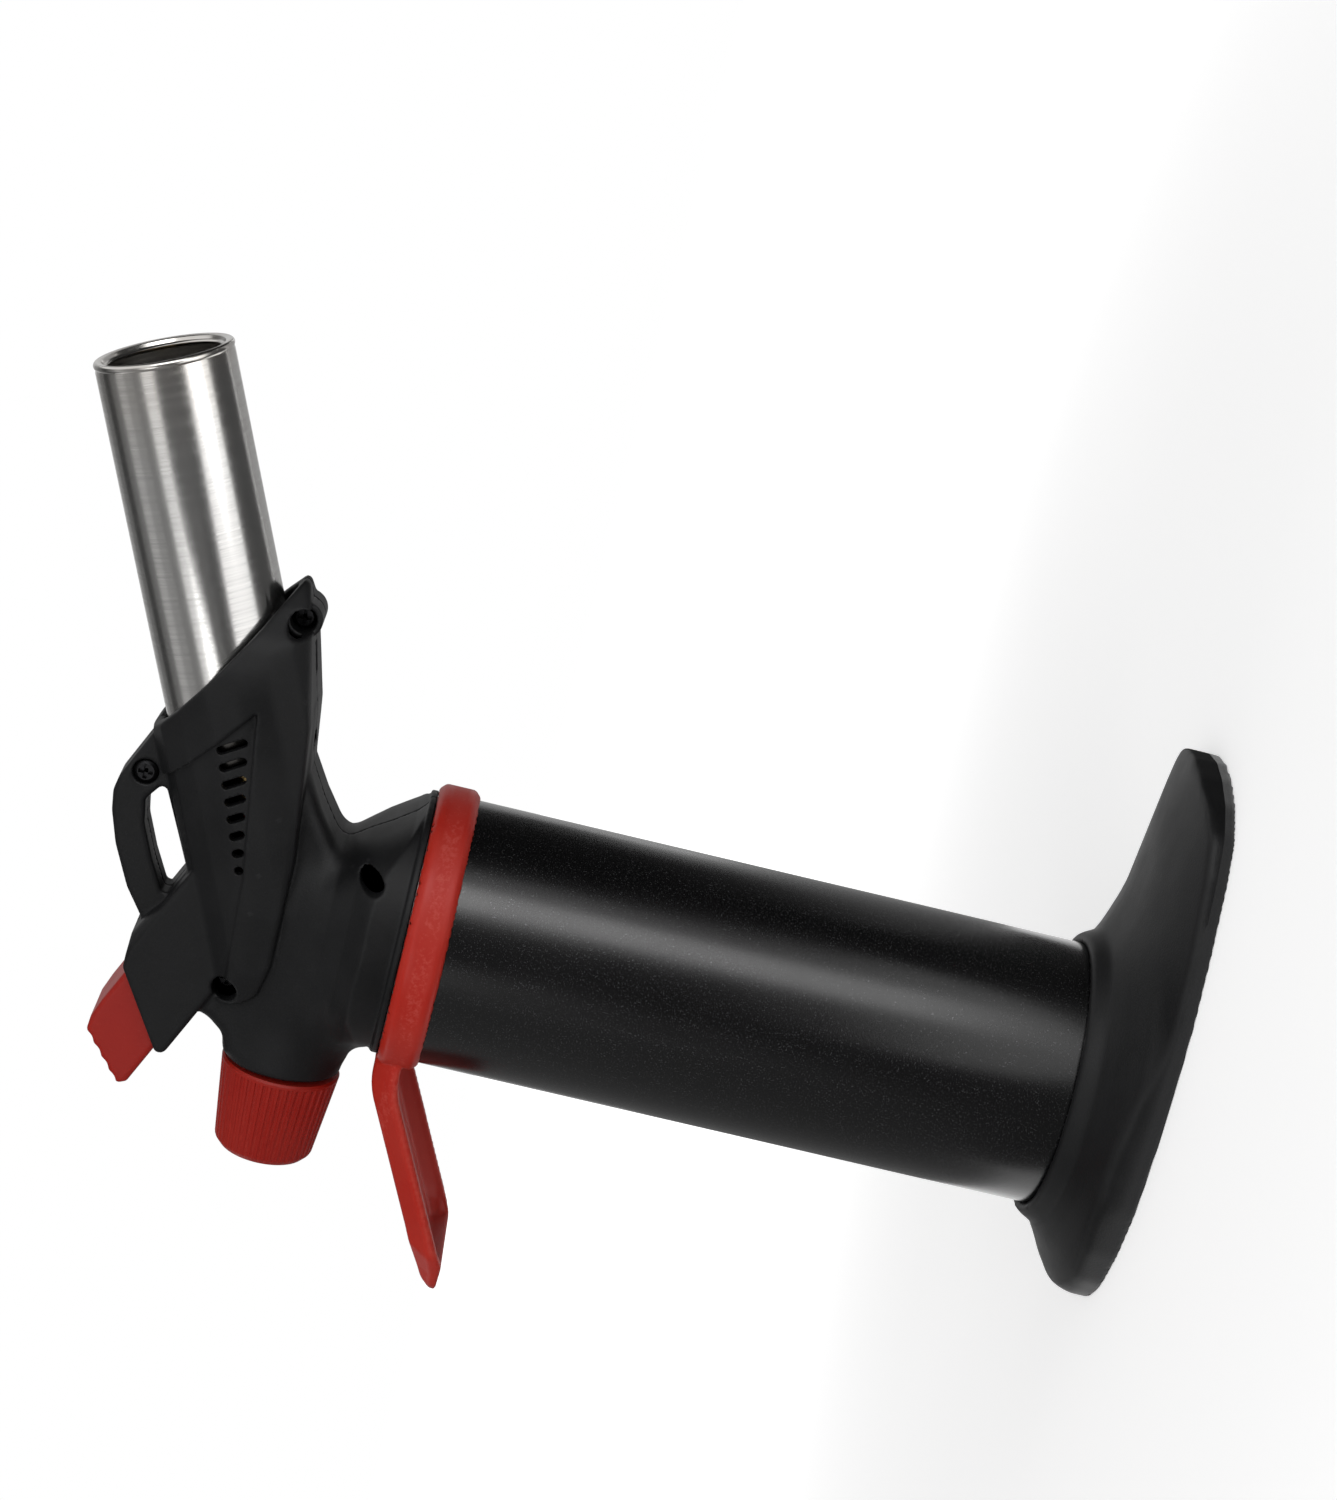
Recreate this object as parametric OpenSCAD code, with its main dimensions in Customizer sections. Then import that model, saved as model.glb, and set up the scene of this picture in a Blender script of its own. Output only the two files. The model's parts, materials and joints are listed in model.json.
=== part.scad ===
// Hand-held butane torch that stands on its own foot.
// Frame: origin on the tank axis where the foot meets the table, +Z up the tank,
// +X towards the flame, and the housing halves part on the plane y = 0.

/* [Foot] */
// Height of the foot from the table to the top edge of its collar
foot_h = 15; // [13:0.5:20]
// How far the foot's heel reaches behind the tank axis
heel_x = 39.8; // [34:0.2:46]
// How far the foot's toe reaches in front of the tank axis
toe_x = 66.5; // [58:0.5:76]
// Half of the foot's width at its widest
foot_half_w = 36.8; // [32:0.2:42]
// Height of the upright band round the heel
heel_band_h = 4.4; // [4:0.2:6]
// Height of the upright band round the toe
toe_band_h = 6; // [5:0.25:7]
// Height of the toe's back near its front
toe_h = 7.2; // [7:0.2:9]
// Wall of the foot
foot_wall = 2.4; // [2:0.1:3]
// Depth of the hollow under the foot
foot_hollow_h = 3; // [2.5:0.1:3.5]
// Depth of the hollow inside the toe
toe_hollow_h = 4.2; // [3:0.1:4.4]
// Thickness of the collar's top edge round the sleeve
collar_lip = 1.1; // [0.8:0.1:1.6]

/* [Tank] */
// Outer diameter of the black sleeve
tank_d = 50; // [48:0.5:54]
// Length of the sleeve that shows between the foot and the hand rest
tank_h = 116.3; // [90:0.5:150]
// Wall of the sleeve
sleeve_wall = 1.1; // [0.8:0.1:1.2]
// Wall of the fuel tank inside the sleeve
fuel_wall = 1.6; // [1.2:0.1:2.2]
// Gap round the fuel tank inside the sleeve
fuel_gap = 0.3; // [0.1:0.1:0.5]

/* [Hand rest] */
// Height of the red ring
ring_h = 7.9; // [6:0.1:10]
// How far the ring stands out past the sleeve
ring_proud = 1.7; // [1.2:0.1:3]
// Width of the hand rest behind the ring
rest_w = 28; // [22:0.5:34]
// How far the hand rest's tip reaches behind the tank axis
rest_x = 70.4; // [64:0.2:80]
// Slope of the hand rest, in degrees below level
rest_slope = 25.6; // [20:0.4:30]
// Height of the hand rest's side walls
rest_wall_h = 5.1; // [4.6:0.1:6]
// Thickness of the hand rest's plate and walls
rest_plate = 1.8; // [1.4:0.1:2.4]
// Width of the slanting faces along the hand rest's top edges
rest_bevel_w = 3.7; // [2:0.1:4.4]

/* [Head] */
// Wall of the two housing halves
head_wall = 2; // [1.6:0.1:2.2]
// Height of the waist of the neck above the hand rest
waist_h = 14.5; // [14:0.5:15.5]
// Half of the neck's width at its waist
waist_half_w = 17.5; // [16:0.5:19]
// Half of the bonnet's width
bonnet_half_w = 16.3; // [15.8:0.1:17.5]
// Length of the lip under the flame tube, from the tank axis
lip_x = 60.7; // [58:0.1:63]
// Slope of the bonnet's mouth, in degrees below level
mouth_slope = 32.4; // [30:0.2:35]
// Half of the trigger guard's width
guard_half_w = 9.5; // [9.2:0.1:10.5]
// Wall of the guard's cheeks
guard_wall = 1.6; // [1.2:0.1:1.8]
// Thickness of the bridge over the bonnet
bridge_w = 8.6; // [7:0.2:10]
// Number of air slots in each side
slot_count = 8; // [5:1:8]
// Width of an air slot
slot_w = 1.5; // [1.1:0.1:1.8]

/* [Burner] */
// Slope of the burner above level, in degrees
burner_angle = 23; // [21:0.5:25]
// Outer diameter of the flame tube
flame_d = 25.2; // [24.4:0.1:25.6]
// Length of the flame tube
flame_l = 75.3; // [60:0.5:95]
// Wall of the flame tube
flame_wall = 0.6; // [0.5:0.1:0.9]
// Diameter of the opening inside the flame tube's rolled lip
lip_opening_d = 20.6; // [18:0.2:22]
// Outer diameter of the gas and air mixing tube
mixer_d = 10; // [9:0.5:11]
// Length of the mixing tube
mixer_l = 26; // [24:0.5:30]
// Wall of the mixing tube
mixer_wall = 1.4; // [1:0.1:1.8]

/* [Gas flow knob] */
// Height of the knob's axis above the hand rest
knob_rise = 17; // [16.5:0.1:17.5]
// Length of the knob
knob_l = 18; // [17:0.1:22]
// Diameter of the knob next to the housing
knob_front_d = 22.5; // [21:0.1:24]
// Diameter of the knob before its rear chamfer
knob_rear_d = 18.5; // [16:0.1:20]
// Number of flutes round the knob
flute_count = 44; // [24:2:48]
// Diameter of the spindle that the knob turns
spindle_d = 5; // [4:0.1:6]

/* [Trigger] */
// Slope of the trigger's slide, in degrees below level
trigger_slope = 25; // [24:0.5:26]
// Travel of the trigger
trigger_travel = 4.5; // [3:0.1:4.8]
// Half of the trigger's width
trigger_half_w = 7.6; // [6.8:0.1:7.6]
// Diameter of the piezo igniter's body
piezo_d = 7.8; // [7:0.1:8]
// Length of the piezo igniter's body
piezo_l = 21; // [19:0.5:22]

/* [Fits] */
// Radial clearance of a turning or sliding shaft in its bore
run_gap = 0.05; // [0.03:0.01:0.08]
// Gap between pieces that pass each other
free_gap = 0.3; // [0.2:0.05:0.4]
// Radial clearance of a piece dropped into its seat
seat_gap = 0.1; // [0.05:0.01:0.2]

/* [Hidden] */
$fn = 48;
black = [0.16, 0.16, 0.17];
red = [0.72, 0.15, 0.13];
brass = [0.78, 0.62, 0.32];
steel = [0.72, 0.72, 0.72];
eps = 0.01;

// Levels up the tank
tank_r = tank_d / 2;
ring_z = foot_h + tank_h;
head_z = ring_z + ring_h;
web_t = 3;
socket_z = foot_hollow_h + web_t;
cap_flange_h = 3;
cap_plug_h = 6;
fuel_r = tank_r - sleeve_wall - fuel_gap;
fuel_bore_r = fuel_r - fuel_wall;
fuel_z = socket_z + cap_flange_h;
collar_r = tank_r + collar_lip;
ring_r = tank_r + ring_proud;
rest_top = ring_h;
rest_bend_x = -28.6;
rest_tip_t = 0.8;

// Foot
toe_corner_r = 13;
toe_corner_y = 14.5;
toe_corner_set = 14;
toe_nose_r = 22;
toe_root_drop = 4.6;
shoulder_r = 7;
collar_flare = 1.4;
access_r = 9;
foot_screw_ring_r = 16;
screw_r = 1.45;
screw_head_r = 2.2;
screw_head_h = 1.5;
foot_screw_bite = 5.5;

// Fill valve, upright on the tank axis
fill_r = 5;
fill_flange_r = 7;
fill_flange_h = 2;
fill_mouth_z = 2.6;
fill_port_r = 2.4;
fill_port_h = 3;
fill_stem_r = 1.5;
fill_head_r = 2.5;
fill_head_h = 1.5;
fill_bore_r = 3;
fill_stem_z = fill_mouth_z + fill_port_h + free_gap;
fill_seat_z = socket_z + 2;
fill_top_z = socket_z + cap_flange_h + cap_plug_h + 4;

// Tank neck and valve block, heights above the hand rest
neck_r = 8;
neck_flange_r = 10.5;
neck_top = 4.3;
stub_r = 5.5;
stub_foot = -1.7;
block_flange_h = 1.4;
block_r = 6.8;
block_rear_x = -28;
block_front_x = 7;
needle_x = -12;
boss_r = 11;
boss_root_r = 13.5;
throat_half_w = 8.5;
boss_x = -32.3;
nape_step = 0.3;
gland_r = 6.4;
gland_x = boss_x - 0.3;
knob_x = boss_x - 0.8;
knob_chamfer = 1.3;
knob_end_r = 7.8;

// Gas valve stem, upright on the tank axis
stem_r = 1.2;
stem_bore_r = 2.4;
stem_foot_r = 2.2;
stem_head_r = 1.8;
stem_head_h = 1.2;
stem_foot_z = knob_rise - 8;
stem_foot_h = 2;
valve_cap_r = 4;
valve_cap_h = 3.2;
valve_cap_z = knob_rise + block_r - valve_cap_h;

// Trigger slide: a point on the piezo's axis at the rear end of its body
slide_x = -22.4;
slide_rise = 42.3;
trigger_top = 6.7;
trigger_bottom = -6.1;
trigger_front = 4;
guard_top = 9.3;
guard_crown = 10.5;
guard_bottom = -8;
roof = 8.3;
plunger_r = 2.9;
pocket_a = -7;
arm_rear = 2;
arm_bottom = 4.7;
arm_top = 7.6;
arm_half_w = 3;

// Valve lever, which turns on a cross pin in front of the piezo
lever_x = 4.2;
lever_rise = 26.3;
lever_t = 1.6;
lever_half_w = 3.2;
lever_hub_r = 2;
pin_r = 1;
pin_half_l = 11;
lever_a = (lever_x - slide_x) * cos(trigger_slope) + (slide_rise - lever_rise) * sin(trigger_slope);
lever_h = (lever_x - slide_x) * sin(trigger_slope) - (slide_rise - lever_rise) * cos(trigger_slope);
arm_mid = (arm_bottom + arm_top) / 2;
lever_swing = trigger_travel / (arm_mid - lever_h) * 180 / PI;
arm_front = lever_a - (arm_top - lever_h) * tan(lever_swing / 2)
    - lever_t / 2 / cos(lever_swing / 2) - free_gap;
stem_head_z = lever_rise - (lever_x - stem_head_r) * sin(lever_swing / 2)
    + lever_t / 2 / cos(lever_swing / 2) + free_gap;

// Burner: a point on the flame tube's axis, and distances along it from there
burner_x = 34.7;
burner_rise = 40.2;
flame_r = flame_d / 2;
flame_start = -10;
base_start = -9;
base_t = 4;
mixer_start = -18;
jet_l = 6;
holder_t = 4;
holder_start = mixer_start + mixer_l;
mixer_r = mixer_d / 2;
mixer_bore_r = mixer_r - mixer_wall;
spark_y = 7.5;
insulator_r = 1.6;
electrode_r = 0.6;
tube_seat_r = flame_r + seat_gap;
mouth_gap = 0.4;

// Screws that join the housing halves: x, height above the hand rest, half of the boss length
neck_screw = [12, 8.2];
rear_screw = [-16, 29.8];
lip_screw = [53.6, 30.9];
lip_boss_r = 3.5;
lip_boss_half_l = 5.5;
top_screw = [18.4, 52.9];
recess_r = 2.5;
boss_wall_r = 3;
screw_seat_y = -4;
head_reach = 90;
screw_l = 11;
top_seat_y = -2.6;
top_screw_l = 5.6;

module at_head() { translate([0, 0, head_z]) children(); }

// Puts a child's own +Z along the burner, t in front of the burner's point
module along_burner(t) {
    translate([burner_x + t * cos(burner_angle), 0, burner_rise + t * sin(burner_angle)])
        rotate([0, 90 - burner_angle, 0]) children();
}

// Puts a child's own +Z along the trigger's slide, a in front of the piezo's rear end
module along_slide(a) {
    translate([slide_x, 0, slide_rise]) rotate([0, 90 + trigger_slope, 0])
        translate([0, 0, a]) children();
}

// Lays a side outline, drawn as along and above, on the slide's own plane
module slide_plate(half_w) {
    translate([slide_x, 0, slide_rise]) rotate([0, trigger_slope, 0])
        side_plate(half_w) children();
}

// Extrudes a side outline, drawn as x and z, to both sides of y = 0
module side_plate(half_w) {
    rotate([90, 0, 0]) translate([0, 0, -half_w]) linear_extrude(2 * half_w) children();
}

module along_x(x, z = 0) { translate([x, 0, z]) rotate([0, 90, 0]) children(); }

module across(p, y0, y1, r) {
    translate([p[0], y1, p[1]]) rotate([90, 0, 0]) cylinder(h = y1 - y0, r = r);
}

module disc(r, x = 0, z = 0, sx = 1) {
    translate([x, 0, z]) scale([sx, 1, 1]) cylinder(h = eps, r = r, $fn = 40);
}

function arc(cx, cy, r, a0, a1, n) =
    [for (i = [0:n]) [cx + r * cos(a0 + (a1 - a0) * i / n), cy + r * sin(a0 + (a1 - a0) * i / n)]];

// ---------------------------------------------------------------- foot

module foot_outline() {
    hull() {
        translate([foot_half_w - heel_x, 0]) circle(r = foot_half_w, $fn = 96);
        translate([foot_half_w - heel_x + 16, 0]) circle(r = foot_half_w - 0.5, $fn = 96);
        for (side = [-1, 1]) translate([toe_x - toe_corner_set, side * toe_corner_y])
            circle(r = toe_corner_r, $fn = 48);
        translate([toe_x - toe_nose_r, 0]) circle(r = toe_nose_r, $fn = 64);
    }
}

// Half section of the heel: a rounded shoulder under a collar that grips the sleeve
module heel_section() {
    past = 0.3;
    shoulder = arc(heel_x + past - shoulder_r, heel_band_h - 2, shoulder_r, 0, 62, 8);
    polygon(concat([[0, 0], [heel_x + past, 0]], shoulder, [[collar_r + collar_flare + 1.6, foot_h - 2.8],
        [collar_r + collar_flare, foot_h - 2.7], [collar_r, foot_h], [0, foot_h]]));
}

module foot() {
    color(black) difference() {
        intersection() {
            linear_extrude(foot_h) foot_outline();
            union() {
                rotate_extrude($fn = 96) heel_section();
                translate([-heel_x - 5, -foot_half_w - 5, 0])
                    cube([heel_x + toe_x + 10, 2 * foot_half_w + 10, heel_band_h]);
                hull() {
                    linear_extrude(toe_band_h) intersection() {
                        offset(delta = 0.5) foot_outline();
                        translate([10, -foot_half_w - 5]) square([toe_x, 2 * foot_half_w + 10]);
                    }
                    translate([14, 0, foot_h - toe_root_drop]) cylinder(h = eps, r = 20, $fn = 32);
                    translate([toe_x - 15, 0, toe_h]) cylinder(h = eps, r = 11, $fn = 32);
                }
            }
        }
        translate([0, 0, socket_z]) cylinder(h = foot_h, r = tank_r + seat_gap);
        translate([0, 0, -eps]) linear_extrude(foot_hollow_h + eps)
            offset(delta = -foot_wall) foot_outline();
        translate([0, 0, -eps]) linear_extrude(toe_hollow_h + eps) intersection() {
            offset(delta = -foot_wall - 1) foot_outline();
            translate([collar_r + foot_wall, -foot_half_w]) square(2 * foot_half_w);
        }
        cylinder(h = foot_h, r = access_r);
        for (i = [0:2]) rotate(60 + 120 * i) translate([foot_screw_ring_r, 0, 0])
            cylinder(h = foot_h, r = screw_r + seat_gap);
    }
}

module screw(l, r = screw_r) {
    difference() {
        union() {
            translate([0, 0, -screw_head_h / 2]) cylinder(h = l + screw_head_h / 2, r = r);
            translate([0, 0, -screw_head_h]) cylinder(h = screw_head_h, r = screw_head_r);
        }
        for (i = [0:1]) rotate(90 * i) translate([-0.35, -1.3, -screw_head_h - eps])
            cube([0.7, 2.6, 0.9]);
    }
}

foot_screw_l = web_t + foot_screw_bite;

module foot_screws() {
    color(steel) for (i = [0:2]) rotate(60 + 120 * i)
        translate([foot_screw_ring_r, 0, foot_hollow_h]) screw(foot_screw_l);
}

// ---------------------------------------------------------------- tank

module tank_sleeve() {
    color(black) translate([0, 0, socket_z]) difference() {
        cylinder(h = ring_z - socket_z, r = tank_r);
        translate([0, 0, -eps]) cylinder(h = ring_z - socket_z + 2 * eps, r = tank_r - sleeve_wall);
    }
}

module fuel_tank() {
    color("gainsboro") difference() {
        union() {
            translate([0, 0, fuel_z]) cylinder(h = head_z - fuel_z, r = fuel_r);
            at_head() cylinder(h = neck_top, r = neck_r);
            at_head() translate([0, 0, head_wall + seat_gap])
                cylinder(h = neck_top - head_wall - seat_gap, r = neck_flange_r);
        }
        translate([0, 0, fuel_z - eps])
            cylinder(h = head_z - fuel_z - fuel_wall * 2, r = fuel_bore_r);
        cylinder(h = head_z + neck_top + 1, r = stub_r + seat_gap);
    }
}

module tank_cap() {
    color("gainsboro") difference() {
        union() {
            translate([0, 0, socket_z]) cylinder(h = cap_flange_h, r = fuel_r);
            translate([0, 0, socket_z]) cylinder(h = cap_flange_h + cap_plug_h, r = fuel_bore_r - seat_gap);
        }
        translate([0, 0, socket_z - eps]) cylinder(h = fuel_top_clear, r = fill_r);
        seal_ring(seal_z, fuel_bore_r, seal_t + seat_gap);
        for (i = [0:2]) rotate(60 + 120 * i) translate([foot_screw_ring_r, 0, socket_z - eps])
            cylinder(h = foot_screw_l - web_t + 0.5, r = screw_r);
    }
}

fuel_top_clear = cap_flange_h + cap_plug_h + 1;
seal_t = 1;
seal_z = socket_z + cap_flange_h + cap_plug_h / 2;

// A round cord laid in a groove, its outside at radius r
module seal_ring(z, r, t) {
    translate([0, 0, z]) rotate_extrude() translate([r - t, 0]) circle(r = t, $fn = 24);
}

module tank_seal() { color("dimgray") seal_ring(seal_z, fuel_bore_r, seal_t); }

module fill_valve_body() {
    color(brass) difference() {
        union() {
            translate([0, 0, socket_z]) cylinder(h = fill_top_z - socket_z, r = fill_r);
            translate([0, 0, socket_z - fill_flange_h]) cylinder(h = fill_flange_h, r = fill_flange_r);
            translate([0, 0, fill_mouth_z]) cylinder(h = socket_z - fill_mouth_z, r = fill_r - 1);
        }
        translate([0, 0, fill_mouth_z - eps]) cylinder(h = fill_port_h + eps, r = fill_port_r);
        translate([0, 0, fill_mouth_z]) cylinder(h = fill_top_z, r = fill_stem_r + run_gap);
        translate([0, 0, fill_seat_z]) cylinder(h = fill_top_z - fill_seat_z - 1.2, r = fill_bore_r);
    }
}

module fill_valve_stem() {
    stem_l = fill_seat_z + fill_head_h + free_gap - fill_stem_z;
    color("ivory") translate([0, 0, fill_stem_z]) difference() {
        union() {
            cylinder(h = stem_l, r = fill_stem_r);
            translate([0, 0, stem_l - fill_head_h]) cylinder(h = fill_head_h, r = fill_head_r);
        }
        translate([0, 0, -eps]) cylinder(h = stem_l - fill_head_h - 0.4, r = 0.6);
    }
}

// Close-wound rings stand for a coil spring: each ring is joined to the next by a short rise
module coil(r, wire_r, l, turns) {
    sides = 6;
    steps = turns * 10;
    rise = (l - 2 * wire_r) / steps;
    points = [for (i = [0:steps]) for (k = [0:sides - 1])
        let (turn = 36 * i, w = 360 / sides * k)
        [(r + wire_r * cos(w)) * cos(turn), (r + wire_r * cos(w)) * sin(turn),
            wire_r + rise * i + wire_r * sin(w)]];
    walls = [for (i = [0:steps - 1]) for (k = [0:sides - 1])
        let (a = i * sides + k, b = i * sides + (k + 1) % sides)
        [a, b, b + sides, a + sides]];
    ends = [[for (k = [sides - 1:-1:0]) k], [for (k = [0:sides - 1]) steps * sides + k]];
    polyhedron(points = points, faces = concat(walls, ends), convexity = 10);
}

fill_spring_z = fill_seat_z + fill_head_h + free_gap;
fill_spring_l = fill_top_z - 1.2 - fill_spring_z - 0.02;

module fill_valve_spring() {
    color(steel) translate([0, 0, fill_spring_z + 0.01])
        coil(r = 1.9, wire_r = 0.3, l = fill_spring_l, turns = 6);
}

// ---------------------------------------------------------------- hand rest

module hand_rest() {
    ring_bore_r = fuel_r + seat_gap;
    color(red) translate([0, 0, ring_z]) difference() {
        union() {
            rotate_extrude($fn = 96) polygon([[ring_bore_r, 0], [ring_r - 1, 0], [ring_r, 1.4],
                [ring_r, ring_h - 1.4], [ring_r - 1, ring_h], [ring_bore_r, ring_h]]);
            rest_tail();
        }
        translate([0, 0, -60]) cylinder(h = 60 + ring_h + 1, r = ring_bore_r);
        translate([0, 0, -60]) cylinder(h = 60, r = tank_r + seat_gap);
    }
}

// Tray behind the ring, open below, that bends down and ends in a solid tip
module rest_tail() {
    drop = (rest_x + rest_bend_x) * tan(rest_slope);
    tip = rest_top - drop;
    lean = tan(rest_slope / 2);
    hollow_x = 9 - rest_x;
    difference() {
        intersection() {
            side_plate(rest_w / 2) polygon([[0, rest_top], [rest_bend_x, rest_top], [-rest_x, tip],
                [-rest_x, tip - rest_tip_t], [10 - rest_x, tip - rest_tip_t],
                [rest_bend_x + rest_wall_h * lean, rest_top - rest_wall_h], [0, rest_top - rest_wall_h]]);
            linear_extrude(80, center = true) rest_outline();
        }
        rest_bevels(rest_bevel_w);
        difference() {
            intersection() {
                side_plate(rest_w / 2 - rest_plate) polygon([[0, rest_top - rest_plate],
                    [rest_bend_x + rest_plate * lean, rest_top - rest_plate],
                    [hollow_x, tip + 9 * tan(rest_slope) - rest_plate / cos(rest_slope)],
                    [hollow_x, rest_top - 40], [0, rest_top - 40]]);
                linear_extrude(80, center = true) offset(delta = -rest_plate) rest_outline();
            }
            rest_bevels(rest_bevel_w + rest_plate * sqrt(2));
        }
    }
}

// What lies outside the slanting faces, along the level part and along the slope
module rest_bevels(w) {
    half = rest_w / 2;
    for (tilt = [0, rest_slope]) translate([rest_bend_x, 0, rest_top]) rotate([0, -tilt, 0])
        translate([tilt > 0 ? -60 : -3, 0, 0]) rotate([90, 0, 90]) linear_extrude(63)
            for (side = [-1, 1])
                polygon([[side * (half - w - 1), 1], [side * (half + 1), 1], [side * (half + 1), -w - 1]]);
}

module rest_outline() {
    half = rest_w / 2;
    polygon([[0, -half], [-rest_x + 13, -half], [-rest_x + 3, -half + 5], [-rest_x, -half + 10],
        [-rest_x, half - 10], [-rest_x + 3, half - 5], [-rest_x + 13, half], [0, half]]);
}

// ---------------------------------------------------------------- head housing

// Side outline of the bonnet, from its stern round the keel to the lip and back along the ridge
module bonnet_side() {
    mouth_top_x = 28.6;
    mouth_top = 32 + (lip_x - mouth_top_x) * tan(mouth_slope);
    polygon([[-20, 31], [-18.2, 27.5], [-16, 24.4], [-11.7, 23], [-2.5, 22.5], [12.7, 22.9],
        [24.2, 23.6], [36, 24.5], [44, 26.3], [50, 27.6], [lip_x - 2, 29.5], [lip_x, 32],
        [mouth_top_x, mouth_top], [22, mouth_top - 0.9], [2, 42.6], [-12, 37], [-20, 34]]);
}

// Plan of the bonnet: a boat, widest in front of the neck
module bonnet_plan() {
    w = bonnet_half_w;
    half = [[-20.5, w - 12], [-18.5, w - 8.3], [-12, w - 5.2], [0, w - 2.2], [12, w - 0.6], [24, w],
        [42, w], [50, w - 3], [57, w - 9], [lip_x + 1, w - 12.5]];
    n = len(half);
    polygon(concat(half, [for (i = [n - 1:-1:0]) [half[i][0], -half[i][1]]]));
}

// Section of the bonnet, square to the burner: across and down
module bonnet_section() {
    w = bonnet_half_w;
    half = [[-15.2, 0], [-14.8, 5], [-12.6, 9.6], [-8, w - 2.4], [-2, w - 0.3], [3, w], [9, w - 1],
        [14, w - 3.8], [18, w - 8.5], [22, w - 14]];
    n = len(half);
    polygon(concat(half, [for (i = [n - 1:-1:1]) [half[i][0], -half[i][1]]]));
}

module bonnet(inset) {
    intersection() {
        side_plate(30) offset(delta = -inset) bonnet_side();
        linear_extrude(80) offset(delta = -inset) bonnet_plan();
        along_burner(-90) linear_extrude(150) offset(delta = -inset) bonnet_section();
    }
}

module neck(inset) {
    intersection() {
        hull() {
            disc(28 - inset, sx = (tank_r + 0.3) / 28);
            disc(waist_half_w - inset, x = -6.5, z = waist_h, sx = 22 / waist_half_w);
        }
        cylinder(h = waist_h + 1, r = tank_r - inset, $fn = 96);
    }
    hull() {
        disc(waist_half_w - inset, x = -6.5, z = waist_h, sx = 22 / waist_half_w);
        disc(waist_half_w - 5 - inset, x = 2, z = 25 - inset, sx = 26 / (waist_half_w - 5));
    }
}

// Way up from the neck into the bonnet
module throat() {
    translate([-23, -throat_half_w, knob_rise - 1]) cube([37, 2 * throat_half_w, 17]);
}

// Block under the guard that joins it to the knob's boss
module nape(inset) {
    side_plate(guard_half_w - nape_step - inset) offset(delta = -inset) polygon([[-28.2, 16], [-28.2, 28.4],
        [-26, 29.8], [-24, 32.5], [-24.2, 36], [-12, 38], [-10, 16]]);
}

module guard_side() {
    polygon([[-8.9, guard_bottom + 0.4], [-8, guard_bottom], [16, guard_bottom], [32, -4], [22, guard_top],
        [4.3, guard_top], [0.8, guard_top - 1]]);
}

module bridge_side() {
    difference() {
        offset(r = 1.5, $fn = 24) offset(delta = -1.5) polygon([[-14, 44], [-10.6, 47.2], [-4.2, 51.6],
            [3.5, 55.3], [9.6, 57.2], [13.2, 57.7], [15.9, 57.6], [30.4, 51.3], [24, 44], [2, 38]]);
        offset(r = 1.2, $fn = 24) offset(delta = -1.2) polygon([[-5.3, 44.6], [2, 48.9],
            [8.6, 51.6], [13.4, 52.1], [17.1, 48.8], [1.4, 41.8]]);
    }
}

module head_outside() {
    neck(0);
    along_x(boss_x, knob_rise) cylinder(h = 12, r1 = boss_r, r2 = boss_root_r);
    nape(0);
    difference() {
        bonnet(0);
        for (side = [-1, 1]) translate([0, side * (bonnet_half_w + 4.1), 0])
            side_plate(5) polygon([[-4, 31.2], [37.5, 36], [22, 47.5]]);
    }
    slide_plate(guard_half_w) guard_side();
    hull() {
        slide_plate(guard_half_w - 0.4)
            polygon([[1.5, 8], [4.5, guard_top], [22, guard_top], [22, 7], [2, 7]]);
        slide_plate(guard_half_w - 3.2) polygon([[6.2, guard_crown], [10.6, guard_crown - 0.3],
            [14.3, guard_top + 0.1], [22, guard_top], [22, 8], [6.2, 8]]);
    }
    side_plate(bridge_w / 2) bridge_side();
    across(lip_screw, -lip_boss_half_l, lip_boss_half_l, lip_boss_r);
}

module head_cavity() {
    difference() {
        union() {
            intersection() {
                neck(head_wall);
                translate([0, 0, head_wall]) cylinder(h = 40, r = tank_r);
            }
            throat();
            bonnet(head_wall);
            nape(head_wall);
            along_x(boss_x + head_wall + 0.3, knob_rise) cylinder(h = 24, r = boss_r - head_wall);
            slide_plate(guard_half_w - guard_wall) polygon([[-30, trigger_bottom - 0.4],
                [20, trigger_bottom - 0.4], [30, 0], [28, roof], [-30, roof]]);
        }
        for (p = [neck_screw, rear_screw, lip_screw]) across(p, -30, 30, boss_wall_r);
        along_burner(base_start - 1) difference() {
            cylinder(h = base_t, r = 24);
            translate([0, 0, -1]) cylinder(h = base_t + 2, r = tube_seat_r);
        }
        for (a = [13, 18]) along_slide(a) translate([-2, -12, 0]) cube([12, 24, 1.6]);
        for (side = [-1, 1]) mirror([0, side < 0 ? 1 : 0, 0])
            across([lever_x, lever_rise], lever_half_w + free_gap, pin_half_l + 4, 2.4);
    }
}

module head_holes() {
    translate([0, 0, -1]) cylinder(h = head_wall + 2, r = neck_r + seat_gap);
    along_x(boss_x - 1, knob_rise) cylinder(h = 6, r = gland_r + free_gap);
    along_burner(flame_start - 0.1) cylinder(h = 60, r = flame_r + seat_gap);
    along_burner(1) cylinder(h = 60, r = flame_r + mouth_gap);
    along_slide(0) cylinder(h = 30, r = piezo_d / 2 + run_gap);
    across([lever_x, lever_rise], -pin_half_l - run_gap, pin_half_l + run_gap, pin_r);
    for (p = [neck_screw, rear_screw, lip_screw]) screw_hole(p, screw_seat_y, screw_l);
    screw_hole(top_screw, top_seat_y, top_screw_l);
    for (i = [0:slot_count - 1]) air_slot(i);
}

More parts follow.
